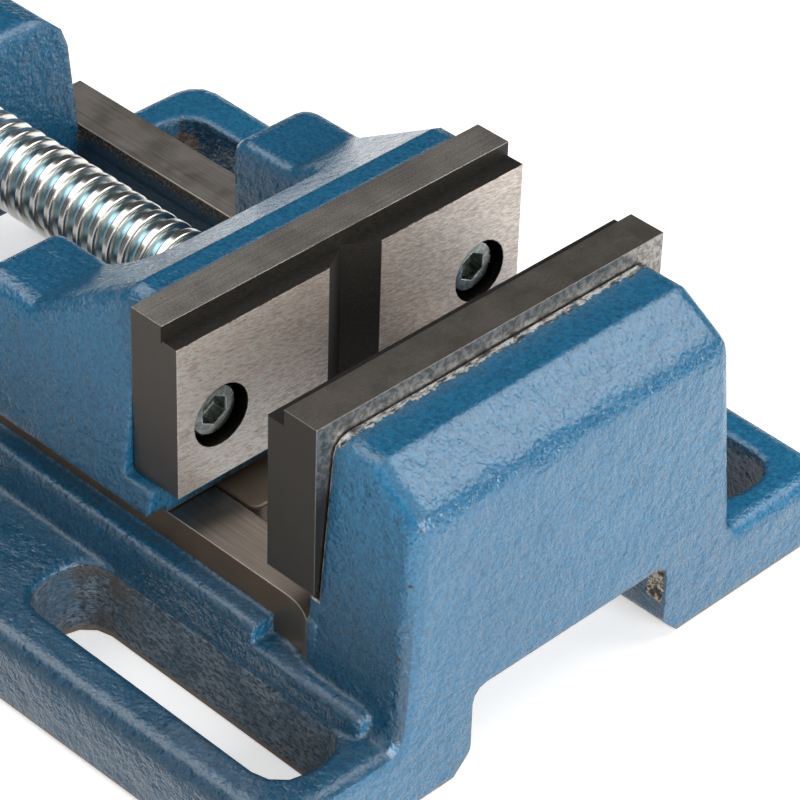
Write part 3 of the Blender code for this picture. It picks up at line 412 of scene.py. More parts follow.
def lit(tree, colour, value):
    """The colour made lighter or darker without a change of hue."""
    return add(tree, "HueSaturation", Color=colour, Value=value).outputs[0]


def bump(tree, height, normal=None):
    """Normal of a relief whose height is in metres."""
    node = add(tree, "Bump", Strength=1.0, Distance=1.0, Height=height)
    if normal:
        fill(tree, node.inputs["Normal"], normal)
    return node.outputs[0]


# %% [markdown]
# The paint is a thick blue enamel, sprayed over the cast skin and never sanded. Its colour
# drifts a little over the casting, is darker in the pits and where it ran thin, and brown
# with rust where an edge lost a chip. The crests of the edges are paler, partly paint worn
# by hands and partly a painted highlight. A clear coat over the paint, added in each
# material, gives the wet shine.

# %% Enamel
BLUE_DEEP, BLUE_LIGHT = rgb(0.007, 0.104, 0.212), rgb(0.010, 0.148, 0.290)
BLUE_PIT, BLUE_WORN_AND_HIGHLIT = rgb(0.005, 0.05, 0.11), rgb(0.13, 0.24, 0.34)
CHIP_RUST, DUST = rgb(0.10, 0.055, 0.035), rgb(0.45, 0.5, 0.52)
CASTING_EDGE = 0.0017
group, given, result = new_group("enamel", [ORIGIN, ("Depth", "value", 1.0)],
                                 [("Colour", "colour"), ("Roughness", "value"), ("Normal", "vector")])
place = given["Vector"]
skin = use(group, "cast_skin", Vector=place, Depth=given["Depth"])
edge = use(group, "arris", Radius=CASTING_EDGE)
colour = mix(group, noise(group, place, 35, 3.0), BLUE_DEEP, BLUE_LIGHT)
colour = mix(group, times(group, skin["Pits"], 0.6), colour, BLUE_PIT)
full = ramp(group, skin["Peel"], 0.38, 0.60)
colour = mix(group, full, lit(group, colour, 0.70), colour)
# Painted highlight, partly real wear: paler paint on the crests of the edges.
crest = times(group, edge["Edge"], ramp(group, noise(group, place, 1700, 3.0, 0.7), 0.44, 0.60))
colour = mix(group, times(group, crest, 0.55), colour, BLUE_WORN_AND_HIGHLIT)
chips = times(group, edge["Edge"], ramp(group, noise(group, place, 260, 3.0), 0.70, 0.74))
colour = mix(group, chips, colour, CHIP_RUST)
dust = use(group, "specks", Vector=place, Scale=330.0, Amount=0.03, Size=-0.04)["Spots"]
rough = ramp(group, noise(group, place, 700, 2.0), 0.3, 0.75, 0.20, 0.34)
rough = blend(group, calc(group, "MAXIMUM", chips, dust), rough, 0.75)
give(group, result, Colour=mix(group, dust, colour, DUST), Roughness=rough,
     Normal=bump(group, skin["Height"], edge["Normal"]))

# %% [markdown]
# Some regions of a casting are painted and others milled. The faces could be picked one by
# one and given other materials, but the frame keeps one material to a node. So `region`
# turns a box in the vise's own coordinates into a mask, and Object coordinates keep it on
# the piece when the piece moves. W is the distance from the middle plane, for both sides.

# %% Regions of a casting
def own_axes(tree):
    """Coordinates that stay with the piece, and the same split by name, with |Y| as W."""
    place = add(tree, "TexCoord").outputs["Object"]
    split = add(tree, "SeparateXYZ", Vector=place).outputs
    return place, {"X": split[0], "Y": split[1], "Z": split[2], "W": calc(tree, "ABSOLUTE", split[1])}


def region(tree, axes, **limits):
    """1 inside the box whose sides are given as axis=(low, high)."""
    mask = None
    for axis, (low, high) in limits.items():
        inside = times(tree, over(tree, axes[axis], low), under(tree, axes[axis], high))
        mask = inside if mask is None else times(tree, mask, inside)
    return mask


def either(tree, *masks):
    joined = masks[0]
    for mask in masks[1:]:
        joined = calc(tree, "MAXIMUM", joined, mask)
    return joined


def flip(tree, value):
    return calc(tree, "SUBTRACT", 1.0, value)


def faces_along(tree, split, axis, limit):
    """1 where the surface faces along an axis, either way."""
    return over(tree, calc(tree, "ABSOLUTE", split[axis]), limit)


# %% [markdown]
# Both castings start alike: enamel whose relief is deeper on the upright faces, and paint
# with painted light and shade in its colour: darker low on the long sides and on the near
# flange, lighter high on the sides and on the far flange. Ambient occlusion could darken
# low corners, but not one side more than the other.

# %% Start of a casting
LEVEL_DEPTH, UPRIGHT_DEPTH = 0.8, 1.7
COAT_ROUGHNESS, COAT_SHARE, PAINT_IOR = 0.16, 0.8, 1.5


def painted_light_and_shade(tree, axes, facing, colour):
    """Painted light and shade: darker paint low on the long sides and on the near flange, lighter higher up
    and on the far flange.
    """
    side = faces_along(tree, facing, 1, 0.6)
    level = over(tree, facing[2], 0.6)
    # Painted light and shade on low level faces: darker on the near side, lighter on the far side.
    painted_side_light = ramp(tree, axes["Y"], 0.03, -0.04, 1.25, 0.58)
    shade = blend(tree, level, 1.0, ramp(tree, axes["Z"], 0.016, 0.036, painted_side_light, 1.0))
    # Painted light and shade on the long sides: darker low, lighter high.
    shade = blend(tree, side, shade, ramp(tree, axes["Z"], 0.022, 0.060, 0.50, 1.25))
    return lit(tree, colour, shade)


def casting(name):
    """A new casting: its material, tree, place, axes, upright faces, enamel and colour with painted light and
    shade.
    """
    material, tree = new_material(name)
    place, axes = own_axes(tree)
    facing = add(tree, "SeparateXYZ", Vector=add(tree, "NewGeometry").outputs["Normal"]).outputs
    upright = under(tree, calc(tree, "ABSOLUTE", facing[2]), 0.5)
    paint = use(tree, "enamel", Vector=place, Depth=blend(tree, upright, LEVEL_DEPTH, UPRIGHT_DEPTH))
    return material, tree, place, axes, upright, paint, painted_light_and_shade(tree, axes, facing, paint["Colour"])


def finish_casting(tree, uncoated, **inputs):
    """Close a casting's material, with clear coat on all but the uncoated parts."""
    surface(tree, IOR=PAINT_IOR, Coat_Weight=times(tree, flip(tree, uncoated), COAT_SHARE),
            Coat_Roughness=COAT_ROUGHNESS, Coat_Normal=inputs["Normal"], **inputs)


# %% [markdown]
# On the base the ways and the shelves beside them are milled bare, and so is the seat behind
# the fixed jaw plate, where the paint ends in a ragged line. The masks stop just short of
# the painted walls, and a noise of 2 mm moves their ends where a brush or a rag would have.

# %% Base casting: where the iron is bare
SEAT, WAY_REAR, WAY_TOP = 0.0892, -0.07, 0.02845
WAY_FRONT, RUN_OUT = SEAT - 0.0018, SEAT - 0.0114
WAY_WALL, ABOVE_WAY = (0.0379, 0.0412), 0.029
material, tree, place, axes, upright, paint, colour = casting("base_enamel")
ragged = calc(tree, "MULTIPLY_ADD", noise(tree, place, 500, 4.0, 0.7), 0.004, -0.002)
ragged_axes = dict(axes, X=calc(tree, "ADD", axes["X"], ragged),
                   Z=calc(tree, "MULTIPLY_ADD", ragged, 0.2, axes["Z"]))
milled = either(
    tree,
    region(tree, axes, W=WAY_WALL, Z=(0.0228, ABOVE_WAY), X=(WAY_REAR, WAY_FRONT)),
    region(tree, axes, W=WAY_WALL, Z=(0.0192, ABOVE_WAY), X=(RUN_OUT, WAY_FRONT)),
    region(tree, axes, W=(0.0279, 0.0414), Z=(WAY_TOP, ABOVE_WAY), X=(WAY_REAR, WAY_FRONT)),
)
seat = either(
    tree,
    region(tree, ragged_axes, X=(SEAT - 0.001, SEAT + 0.0013), Z=(0.0630, 0.066)),
    region(tree, axes, X=(SEAT - 0.003, SEAT + 0.0002), Z=(0.0325, 0.066), W=(-1.0, 0.0395)),
)
bare = either(tree, milled, seat)
print("length of the milled ways in mm:", round((WAY_FRONT - WAY_REAR) * 1000, 1))

# %% [markdown]
# Milled cast iron is a warm grey with the cutter's lines along the ways. Its side walls are
# browner with oil, and the near way is darker with painted shade. The seat is mottled pale
# grey, where paint was wiped off it while wet. All of it is one blend, from the general tone
# to the rarest mark, because each tone on a face of its own would show a border.

# %% Base casting: the bare iron
marks = use(tree, "tool_marks", Vector=place, Stretch=(0.03, 1.0, 1.0), Scale=2400.0)
edge = use(tree, "arris", Radius=0.0003)
iron = mix(tree, ramp(tree, marks["Blotches"], 0.3, 0.75), rgb(0.33, 0.295, 0.26), rgb(0.39, 0.355, 0.32))
iron = mix(tree, ramp(tree, marks["Grain"], 0.35, 0.8), iron, rgb(0.48, 0.44, 0.40))
iron = mix(tree, times(tree, marks["Scratches"], 0.45), iron, rgb(0.12, 0.10, 0.085))
# Painted shade: the iron of the near way is darkened.
near_way_shade = under(tree, axes["Y"], 0.0)
iron = mix(tree, times(tree, near_way_shade, 0.45), iron, rgb(0.05, 0.045, 0.04))
iron = mix(tree, times(tree, times(tree, upright, milled), 0.85), iron, rgb(0.37, 0.235, 0.145))
mottled = noise(tree, place, 900, 4.0, 0.7, (1.0, 0.35, 1.0))
wiped = mix(tree, ramp(tree, mottled, 0.40, 0.58), rgb(0.10, 0.10, 0.105), rgb(0.86, 0.88, 0.88))
iron = mix(tree, seat, iron, wiped)
iron = mix(tree, times(tree, edge["Edge"], 0.8), iron, rgb(0.75, 0.71, 0.66))
relief = times(tree, marks["Grain"], 0.000014)
relief = calc(tree, "MULTIPLY_ADD", times(tree, mottled, seat), 0.0002, relief)
iron_normal = bump(tree, relief, edge["Normal"])
print("base nodes so far:", len(tree.nodes))

# %% [markdown]
# Inside the bolt slots the spray hardly reached: a thin navy film lies over iron that is
# rougher than elsewhere, with brown dirt toward the rear. The walls are found by the slots'
# own boxes, and only upright faces count. On the far side the paint covers them better, so
# the film there is faint, and the far rear slot has none.

# %% Base casting: slot walls
SLOT_ACROSS, SLOT_HEIGHT = (0.0440, 0.0609), (0.0005, 0.0142)
REAR_SLOT, FRONT_SLOT = (-0.0545, 0.0122), (0.0370, 0.1037)
slot_walls = either(tree, *(region(tree, axes, W=SLOT_ACROSS, Z=SLOT_HEIGHT, X=along)
                            for along in (REAR_SLOT, FRONT_SLOT)))
shown = blend(tree, over(tree, axes["Y"], 0.0), 1.0, 0.12)
slot_walls = times(tree, slot_walls, times(tree, upright, shown))
not_far_rear = over(tree, calc(tree, "SUBTRACT", axes["X"], axes["Y"]), -0.03)
slot_walls = times(tree, slot_walls, not_far_rear)
streaks = noise(tree, place, 1900, 3.0, 0.7, (0.5, 0.5, 1.0))
cover = ramp(tree, noise(tree, place, 110, 3.0), 0.34, 0.6, 0.45, 1.0)
film = mix(tree, ramp(tree, streaks, 0.36, 0.64), rgb(0.009, 0.027, 0.047), rgb(0.200, 0.275, 0.340))
patches = ramp(tree, noise(tree, place, 90, 3.0), 0.36, 0.56, 0.1, 0.85)
film = mix(tree, times(tree, ramp(tree, axes["X"], 0.056, 0.042), patches), film, rgb(0.085, 0.072, 0.058))
colour = mix(tree, times(tree, slot_walls, cover), colour, film)
print("slots at X", REAR_SLOT, "and", FRONT_SLOT)

# %% [markdown]
# Small places tell how the base was made. The inner walls of the ways have a rusty upper
# band where milling thinned the paint. The sole was ground after painting. One foot of the
# arch holds a patch of filler with a bare rim. Painting them by hand on an image would tie
# them to one model, so each is a box with ragged ends.

# %% Base casting: inner walls, sole and filler
inner_wall = region(tree, axes, W=(0.0262, 0.0284), Z=(0.0165, WAY_TOP), X=(-0.062, 0.0835))
dots = ramp(tree, noise(tree, place, 1500, 2.0), 0.5, 0.6)
near_top = ramp(tree, calc(tree, "ADD", axes["Z"], times(tree, ragged, 0.6)), 0.0255, 0.0275)
inner_tint = mix(tree, dots, rgb(0.030, 0.026, 0.022), rgb(0.17, 0.14, 0.11))
inner_tint = mix(tree, near_top, rgb(0.008, 0.050, 0.095), inner_tint)
colour = mix(tree, inner_wall, colour, inner_tint)
sole = region(tree, ragged_axes, Z=(-1.0, 0.0011))
colour = mix(tree, sole, colour, rgb(0.20, 0.155, 0.12))
rim = region(tree, ragged_axes, X=(0.085, 0.1080), Y=(0.0225, 0.0300), Z=(-1.0, 0.0022))
colour = mix(tree, rim, colour, rgb(0.46, 0.42, 0.36))
putty = region(tree, ragged_axes, X=(0.1052, 0.1089), Y=(0.0225, 0.0292), Z=(0.0085, 0.0160))
crumbs = ramp(tree, noise(tree, place, 520, 4.0, 0.75), 0.42, 0.54)
colour = mix(tree, putty, colour, mix(tree, crumbs, rgb(0.03, 0.02, 0.015), rgb(0.72, 0.62, 0.47)))
print("base nodes so far:", len(tree.nodes))

# %% [markdown]
# The near upright edge of the fixed jaw lost four chips down to rust, and the far rear slot
# has a rust stain. They sit where the photograph shows them, so noise alone won't do: each
# is a small ball with a rim that noise frays.

# %% Base casting: chips and stain
CHIPS = (((0.1077, -0.0370, 0.0463), 0.0002), ((0.1072, -0.0388, 0.0321), 0.0004),
         ((0.1074, -0.0390, 0.0304), 0.0), ((0.1075, -0.0392, 0.0286), 0.0003))
STAIN_PLACE, STAIN_RADIUS = (-0.0515, 0.0578, 0.0085), 0.0032


def spot(tree, place, centre, radius, fray=0.0012):
    """1 inside a small ball with a ragged rim."""
    away = add(tree, "VectorMath", {"operation": "DISTANCE"}, i0=place, i1=centre).outputs["Value"]
    away = calc(tree, "MULTIPLY_ADD", noise(tree, place, 700, 3.0, 0.7), fray * 2, away)
    return under(tree, away, radius + fray)


chipped = either(tree, *(spot(tree, place, centre, radius) for centre, radius in CHIPS))
crust = ramp(tree, noise(tree, place, 900, 3.0), 0.4, 0.6)
colour = mix(tree, chipped, colour, mix(tree, crust, rgb(0.018, 0.012, 0.010), rgb(0.075, 0.045, 0.03)))
stain = spot(tree, place, STAIN_PLACE, STAIN_RADIUS, 0.003)
colour = mix(tree, times(tree, stain, 0.9), colour, rgb(0.115, 0.060, 0.032))
print("chips:", len(CHIPS))

# %% [markdown]
# Last, the parts of the base come together: bare iron over paint, rougher where it is dull,
# metallic only where it is bare, and no clear coat on either.

# %% Base casting: put together
dull = either(tree, slot_walls, sole, putty, chipped, inner_wall)
rough = blend(tree, dull, paint["Roughness"], 0.62)
rough = blend(tree, bare, rough, ramp(tree, marks["Blotches"], 0.3, 0.7, 0.40, 0.48))
pitted = times(tree, either(tree, slot_walls, inner_wall, putty), 0.0009)
paint_normal = bump(tree, times(tree, streaks, pitted), paint["Normal"])
finish_casting(tree, either(tree, bare, dull), Base_Color=mix(tree, bare, colour, iron), Roughness=rough,
               Metallic=bare, Normal=mix(tree, bare, paint_normal, iron_normal, "VECTOR"))
finishes = {"base_enamel": material}
print("base nodes:", len(tree.nodes))

# %% [markdown]
# The moving jaw is painted like the base. Its guide between the ways and its seat behind the
# plate are machined, and browned by oil, so they are less metallic than the bright ways.
# Here the paint keeps to its borders, because no face of this casting shows a ragged one.

# %% Moving jaw casting
material, tree, place, axes, upright, paint, colour = casting("jaw_enamel")
marks = use(tree, "tool_marks", Vector=place, Stretch=(0.06, 1.0, 1.0), Scale=2600.0)
bare = either(tree, region(tree, axes, Z=(0.0, 0.02915), W=(-1.0, 0.0440)),
              region(tree, axes, X=(0.0449, 0.0453), W=(-1.0, 0.0365), Z=(0.0346, 0.0680)))
iron = mix(tree, marks["Blotches"], rgb(0.150, 0.115, 0.085), rgb(0.24, 0.19, 0.145))
iron_normal = bump(tree, times(tree, marks["Grain"], 0.000012))
finish_casting(tree, bare, Base_Color=mix(tree, bare, colour, iron), Metallic=times(tree, bare, 0.4),
               Roughness=blend(tree, bare, paint["Roughness"], 0.45),
               Normal=mix(tree, bare, paint["Normal"], iron_normal, "VECTOR"))
finishes["jaw_enamel"] = material
print("jaw nodes:", len(tree.nodes))

# %% [markdown]
# The jaw plates are hardened steel, bolted to the castings. Each has a step along its top
# edge for holding flat stock, and the moving one an upright vee groove for round stock. The
# working faces are ground bright, the step and the vee keep a black scale, and the tops,
# ends and backs are darker greys. So the first thing is a mask for each of these faces.

# %% Jaw plates: which face is which
VEE_HALF, FIXED_FROM, STEP_WALL, LEDGE = 0.0062, 0.07, 0.0526, 0.0650
MOVING_FACE, FIXED_FACE = (0.0562, 0.0566), (0.0776, 0.0781)
MOVING_BACK, FIXED_BACK = (0.0450, 0.0455), (0.0887, 0.0890)
material, tree = new_material("plate_steel")
place, axes = own_axes(tree)
exact = add(tree, "NewGeometry").outputs["Normal"]
facing = add(tree, "SeparateXYZ", Vector=exact).outputs
lengthwise = faces_along(tree, facing, 0, 0.9)
ends = faces_along(tree, facing, 1, 0.7)
front_moving = region(tree, axes, X=MOVING_FACE)
front = times(tree, either(tree, front_moving, region(tree, axes, X=FIXED_FACE)), lengthwise)
back = either(tree, region(tree, axes, X=MOVING_BACK), region(tree, axes, X=FIXED_BACK))
back = times(tree, back, lengthwise)
ledge = region(tree, axes, X=(STEP_WALL, MOVING_FACE[1]), Z=(LEDGE, 0.0658))
ledge = times(tree, ledge, over(tree, facing[2], 0.5))
riser = region(tree, axes, X=(STEP_WALL, 0.0530), Z=(LEDGE, 0.0683))
fixed_step = region(tree, axes, X=(0.0776, 0.0816), Z=(0.0646, 0.0677))
vee = region(tree, axes, W=(-1.0, VEE_HALF), X=(STEP_WALL, 0.05635))
vee = times(tree, vee, under(tree, facing[2], 0.5))
black = either(tree, ledge, riser, fixed_step, vee)
fixed = over(tree, axes["X"], FIXED_FROM)
print("vee width in mm:", VEE_HALF * 2000)

# %% [markdown]
# The tops and ends were milled before hardening: fine lines run along them, with pale and
# dark grains. On the fixed plate they are darker, as the photograph shows. One grey could
# cover them all, but the light falls on every face in its own way, and each grey was tried
# against the photograph.

# %% Jaw plates: tops, ends and backs
UPHILL = math.radians(9)
turned = add(tree, "VectorRotate", {"rotation_type": "X_AXIS"}, Vector=place, Angle=UPHILL).outputs[0]
marks = use(tree, "tool_marks", Vector=turned, Stretch=(1.0, 0.2, 1.0), Scale=4000.0)
grain = ramp(tree, marks["Grain"], 0.3, 0.7)
lines = ramp(tree, noise(tree, place, 2600, 2.0, 0.6, (1.0, 0.015, 1.0)), 0.3, 0.7)
fine = noise(tree, place, 3800, 2.0, 0.6)
grey = mix(tree, lines, rgb(0.35, 0.325, 0.30), rgb(0.46, 0.43, 0.40))
grey = mix(tree, ramp(tree, fine, 0.58, 0.70), grey, rgb(0.70, 0.66, 0.62))
grey = mix(tree, ramp(tree, fine, 0.42, 0.32), grey, rgb(0.17, 0.155, 0.14))
grey = mix(tree, fixed, grey, mix(tree, grain, rgb(0.195, 0.175, 0.155), rgb(0.25, 0.225, 0.20)))
end_grey = mix(tree, grain, rgb(0.155, 0.137, 0.12), rgb(0.18, 0.16, 0.142))
end_grey = mix(tree, fixed, end_grey, rgb(0.112, 0.100, 0.086))
grey = mix(tree, ends, grey, end_grey)
# The backs are flecked, and darker towards the bottom.
flecks = ramp(tree, noise(tree, place, 900, 4.0, 0.7), 0.40, 0.60)
back_grey = mix(tree, flecks, rgb(0.19, 0.18, 0.165), rgb(0.42, 0.40, 0.375))
back_grey = mix(tree, ramp(tree, axes["Z"], 0.050, 0.062), rgb(0.075, 0.07, 0.065), back_grey)
print("plate nodes so far:", len(tree.nodes))

# %% [markdown]
# A grinding wheel crossed the working faces slightly uphill, so the grain is turned by nine
# degrees. The steel is warm and bright, brighter toward the near end, and holds scratches,
# cloudy stains and many small nicks from work that slipped.

# %% Jaw plates: ground faces
bright = mix(tree, grain, rgb(0.60, 0.52, 0.465), rgb(1.0, 0.91, 0.835))
bright = mix(tree, times(tree, marks["Scratches"], 0.28), bright, rgb(0.22, 0.18, 0.16))
bright = mix(tree, ramp(tree, marks["Blotches"], 0.60, 0.72, 0.0, 0.35), bright, rgb(0.30, 0.27, 0.25))
nicks = use(tree, "specks", Vector=place, Scale=850.0, Amount=0.26, Size=-0.06)["Spots"]
bright = mix(tree, nicks, bright, rgb(0.09, 0.075, 0.065))
bright = lit(tree, bright, ramp(tree, axes["Y"], -0.035, 0.035, 1.24, 0.80))
colour = mix(tree, back, mix(tree, front, grey, bright), back_grey)
print("plate nodes so far:", len(tree.nodes))

# %% [markdown]
# The black scale of the forge stays where no wheel reached, and its lower border on the
# moving plate is frayed. The counterbores round the screws are painted black, partly old oil
# and partly painted shade in the recess. Worn edges are a little brighter, but not where the
# scale covers them.

# %% Jaw plates: scale, edges and bores
STEP_EDGE, FRAY = 0.0663, -0.0016
BORE_ASIDE, BORE_UP, BORE_RADIUS, BORE_FACE = 0.0303, 0.0476, 0.0061, 0.0563
edge = use(tree, "arris", Radius=0.0002)
shine = calc(tree, "SUBTRACT", 0.3, times(tree, black, 0.3))
colour = mix(tree, times(tree, edge["Edge"], shine), colour, rgb(0.6, 0.56, 0.52))
colour = mix(tree, black, colour, mix(tree, grain, rgb(0.010, 0.009, 0.007), rgb(0.030, 0.026, 0.022)))
border = calc(tree, "MULTIPLY_ADD", noise(tree, place, 700, 4.0, 0.75, (1.0, 0.4, 1.0)), FRAY, STEP_EDGE)
frayed = times(tree, over(tree, axes["Z"], border), front_moving)
colour = mix(tree, times(tree, frayed, 0.85), colour, rgb(0.035, 0.030, 0.026))
# Painted shade, partly old oil: the counterbore round each screw is painted near black.
aside = calc(tree, "SUBTRACT", axes["W"], BORE_ASIDE)
above = calc(tree, "SUBTRACT", axes["Z"], BORE_UP)
squares = calc(tree, "MULTIPLY_ADD", aside, aside, times(tree, above, above))
shaded_bore = times(tree, under(tree, squares, BORE_RADIUS ** 2), under(tree, axes["X"], BORE_FACE))
colour = mix(tree, shaded_bore, colour, rgb(0.030, 0.028, 0.024))
lint = use(tree, "specks", Vector=place, Scale=420.0, Amount=0.05, Size=-0.05)["Spots"]
colour = mix(tree, times(tree, lint, 0.5), colour, rgb(0.45, 0.43, 0.41))
print("bores at", BORE_ASIDE * 1000, "mm to each side")

# %% [markdown]
# The plates' faces end up with two roughnesses and two depths of grain, and the scale is
# less metallic than steel. Its normals stay unsoftened, so the dark steps keep crisp edges.

# %% Jaw plates: put together
rough = blend(tree, front, ramp(tree, marks["Blotches"], 0.3, 0.7, 0.40, 0.46), 0.46)
rough = blend(tree, black, rough, 0.5)
relief = times(tree, marks["Grain"], blend(tree, front, 0.000012, 0.000035))
relief = calc(tree, "MULTIPLY_ADD", marks["Scratches"], -0.000012, relief)
softened = mix(tree, black, edge["Normal"], exact, "VECTOR")
surface(tree, Base_Color=colour, Roughness=rough, Metallic=flip(tree, times(tree, black, 0.6)),
        Normal=bump(tree, relief, softened))
finishes["plate_steel"] = material
print("plate nodes:", len(tree.nodes))

# %% [markdown]
# Zinc plating is bright and slightly blue, with a soft cloudiness in its shine. The pins,
# bar, knobs and the keeper's parts differ from it only in tint and wear, so one group
# serves them all, and a short table gives each its own values.

# %% Zinc plating
ZINC_SHINE, ZINC_GRAIN, ZINC_TINT = 0.22, 0.000005, rgb(0.7, 0.74, 0.78)
group, given, result = new_group("zinc", [ORIGIN, ("Tint", "colour", ZINC_TINT), ("Wear", "value", 1.0)],
                                 [("Colour", "colour"), ("Roughness", "value"), ("Normal", "vector")])
place, tint, wear = given["Vector"], given["Tint"], given["Wear"]
cloud = noise(group, place, 240, 4.0, 0.6)
edge = use(group, "arris", Radius=0.00025)
clear = flip(group, times(group, ramp(group, cloud, 0.62, 0.35), wear))
colour = mix(group, clear, scaled(group, tint, (0.55, 0.56, 0.58)), tint)
grain = times(group, noise(group, place, 2600, 3.0, 0.6), times(group, wear, ZINC_GRAIN))
give(group, result, Colour=mix(group, times(group, edge["Edge"], 0.5), colour, rgb(0.85, 0.85, 0.84)),
     Roughness=calc(group, "MULTIPLY_ADD", wear, ramp(group, cloud, 0.3, 0.7, 0.12, -0.02), ZINC_SHINE),
     Normal=bump(group, grain, edge["Normal"]))


def plated(name, tint, wear):
    """A new plated material: its tree, place, axes and the plating's outputs."""
    finishes[name], tree = new_material(name)
    place, axes = own_axes(tree)
    return tree, place, axes, use(tree, "zinc", Vector=place, Tint=rgb(*tint), Wear=wear)


def finish_plated(tree, plating, colour):
    surface(tree, Base_Color=colour, Roughness=plating["Roughness"], Metallic=1.0, Normal=plating["Normal"])


STEELS = {"pin_steel": ((0.5, 0.5, 0.5), 1.0), "bar_steel": ((0.66, 0.70, 0.74), 0.5),
          "knob_steel": ((0.62, 0.66, 0.70), 0.6), "keeper_steel": ((0.06, 0.06, 0.065), 1.0)}
for name, (tint, wear) in STEELS.items():
    tree, place, axes, plating = plated(name, tint, wear)
    finish_plated(tree, plating, plating["Colour"])
print("finishes:", sorted(finishes))

# %% [markdown]
# The lead screw is plated too. Its crests are rubbed warm by the nut, while the roots keep
# a blue cast, so the tint follows the distance from the screw's axis. The head has no
# roots, and is all crest.

# %% Lead screw finish
SHAFT_Z, HEAD_FACE = 0.0388, -0.088
ROOT_TINT, CREST_TINT = rgb(0.52, 0.68, 0.74), rgb(0.86, 0.85, 0.80)
tree, place, axes, plating = plated("lead_screw_zinc", (0.70, 0.76, 0.78), 0.0)
above = calc(tree, "SUBTRACT", axes["Z"], SHAFT_Z)
squares = calc(tree, "MULTIPLY_ADD", above, above, times(tree, axes["Y"], axes["Y"]))
crest = ramp(tree, calc(tree, "SQRT", squares), 0.0062, 0.0074)
crest = either(tree, crest, under(tree, axes["X"], HEAD_FACE))
finish_plated(tree, plating, mix(tree, crest, ROOT_TINT, CREST_TINT))
print("axis of the screw in mm:", round(SHAFT_Z * 1000, 1))

# %% [markdown]
# The cap screws of the plates are grey-green with oil, and the hexagon key rubbed the rims
# of their sockets white. A wide arris finds the rims, and noise breaks them up.

# %% Cap screw finish
tree, place, axes, plating = plated("screw_zinc", (0.55, 0.58, 0.56), 1.0)
rim = use(tree, "arris", Radius=0.0007)["Edge"]
oiled = ramp(tree, noise(tree, place, 900, 3.0, 0.6), 0.44, 0.62)
rubbed = ramp(tree, noise(tree, place, 420, 3.0, 0.6), 0.44, 0.54)
colour = mix(tree, oiled, rgb(0.24, 0.258, 0.24), rgb(0.38, 0.41, 0.39))
finish_plated(tree, plating, mix(tree, times(tree, rim, rubbed), colour, rgb(0.95, 0.97, 0.95)))
print("cap screw nodes:", len(tree.nodes))

# %% [markdown]
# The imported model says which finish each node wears. Only the material slot is filled here:
# the frame's meshes stay where they are and as they are.

# %% Finishes on the frame's nodes
def dress(piece, finish):
    piece.data.materials.clear()
    piece.data.materials.append(finishes[finish])


slot_of = {entry["node"]: entry["material_slot"] for entry in frame["record"]["subparts"]}
for name, node in nodes.items():
    dress(node, slot_of[name])
print("dressed nodes:", len(slot_of))

# %% [markdown]
# The lead screw's thread has 4 mm pitch on 16 mm, with rounded crests and roots. A Screw
# modifier could wind one tooth round the axis, but its ends would be cut off flat. So each
# ring of points across one pitch is carried round the axis and forward, and the height
# fades to the core at both ends, as the run-out of a real die does.

# %% Lead screw: thread
PITCH, CREST, ROOT = 0.004, 0.0080, 0.0057
ROOT_SHARE, FLANK_SHARE = 0.28, 0.34
HEAD_LENGTH, HEAD_GAP = 0.0214, 0.001
AROUND, ACROSS = 64, 18
SAME_POINT = 0.000001
low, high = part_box("lead_screw")
WASHER_GAP = 0.0003
SHOULDER_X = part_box("thrust_washer")[0].x - WASHER_GAP
start, end = low.x + HEAD_LENGTH + HEAD_GAP, SHOULDER_X


def thread_form(share):
    """Radius across one pitch, share from 0 to 1: root, flank, crest, flank, root."""
    rise = 1 - abs(2 * share - 1)
    step = min(max((rise - ROOT_SHARE) / FLANK_SHARE, 0.0), 1.0)
    return ROOT + (CREST - ROOT) * step * step * (3 - 2 * step)


def thread_ring(step):
    """One row of points across a pitch, and where it stands along and round the screw."""
    turn = 2 * math.pi * step / AROUND
    for index in range(ACROSS + 1):
        share = index / ACROSS
        along = start + PITCH * (step / AROUND + share)
        fade = min(1.0, max(0.0, (along - start - PITCH) / PITCH), max(0.0, (end - along) / (PITCH / 2)))
        radius = ROOT + (thread_form(share) - ROOT) * fade
        yield min(along, end), radius * math.cos(turn), SHAFT_Z + radius * math.sin(turn)


work = bmesh.new()
turns = int((end - start) / PITCH)
rings = [[work.verts.new(point) for point in thread_ring(step)] for step in range(turns * AROUND + 1)]
for before, after in zip(rings, rings[1:]):
    for index in range(ACROSS):
        work.faces.new((before[index], before[index + 1], after[index + 1], after[index]))
bmesh.ops.remove_doubles(work, verts=work.verts, dist=SAME_POINT)
bmesh.ops.recalc_face_normals(work, faces=work.faces)
for face in work.faces:
    face.smooth = True
thread = mesh_piece("lead_screw_thread", work)
print("turns of thread:", turns)

# %% [markdown]
# The screw's head and journal, the bar and its knobs are turned on a lathe. The same idea
# makes them here: a profile of points, each a distance along the axis and a radius, is spun
# round. A cylinder and a few bevels would do for the head, but not for a groove or a ball.

# %% Turned pieces
SIDES, SHARP = 64, math.radians(30)


def lathe(name, profile, place, turn):
    """A turned piece from (distance along the axis, radius) pairs."""
    work = bmesh.new()
    verts = [work.verts.new((along, radius, 0)) for along, radius in profile]
    edges = [work.edges.new(pair) for pair in zip(verts, verts[1:])]
    bmesh.ops.spin(work, geom=verts + edges, cent=(0, 0, 0), axis=(1, 0, 0), dvec=(0, 0, 0),
                   angle=2 * math.pi, steps=SIDES, use_merge=True)
    bmesh.ops.remove_doubles(work, verts=work.verts, dist=SAME_POINT)
    bmesh.ops.recalc_face_normals(work, faces=work.faces)
    bmesh.ops.transform(work, matrix=Matrix.Translation(place) @ turn, verts=work.verts)
    thing = mesh_piece(name, work)
    thing.data.shade_smooth()
    thing.data.set_sharp_from_angle(angle=SHARP)
    return thing


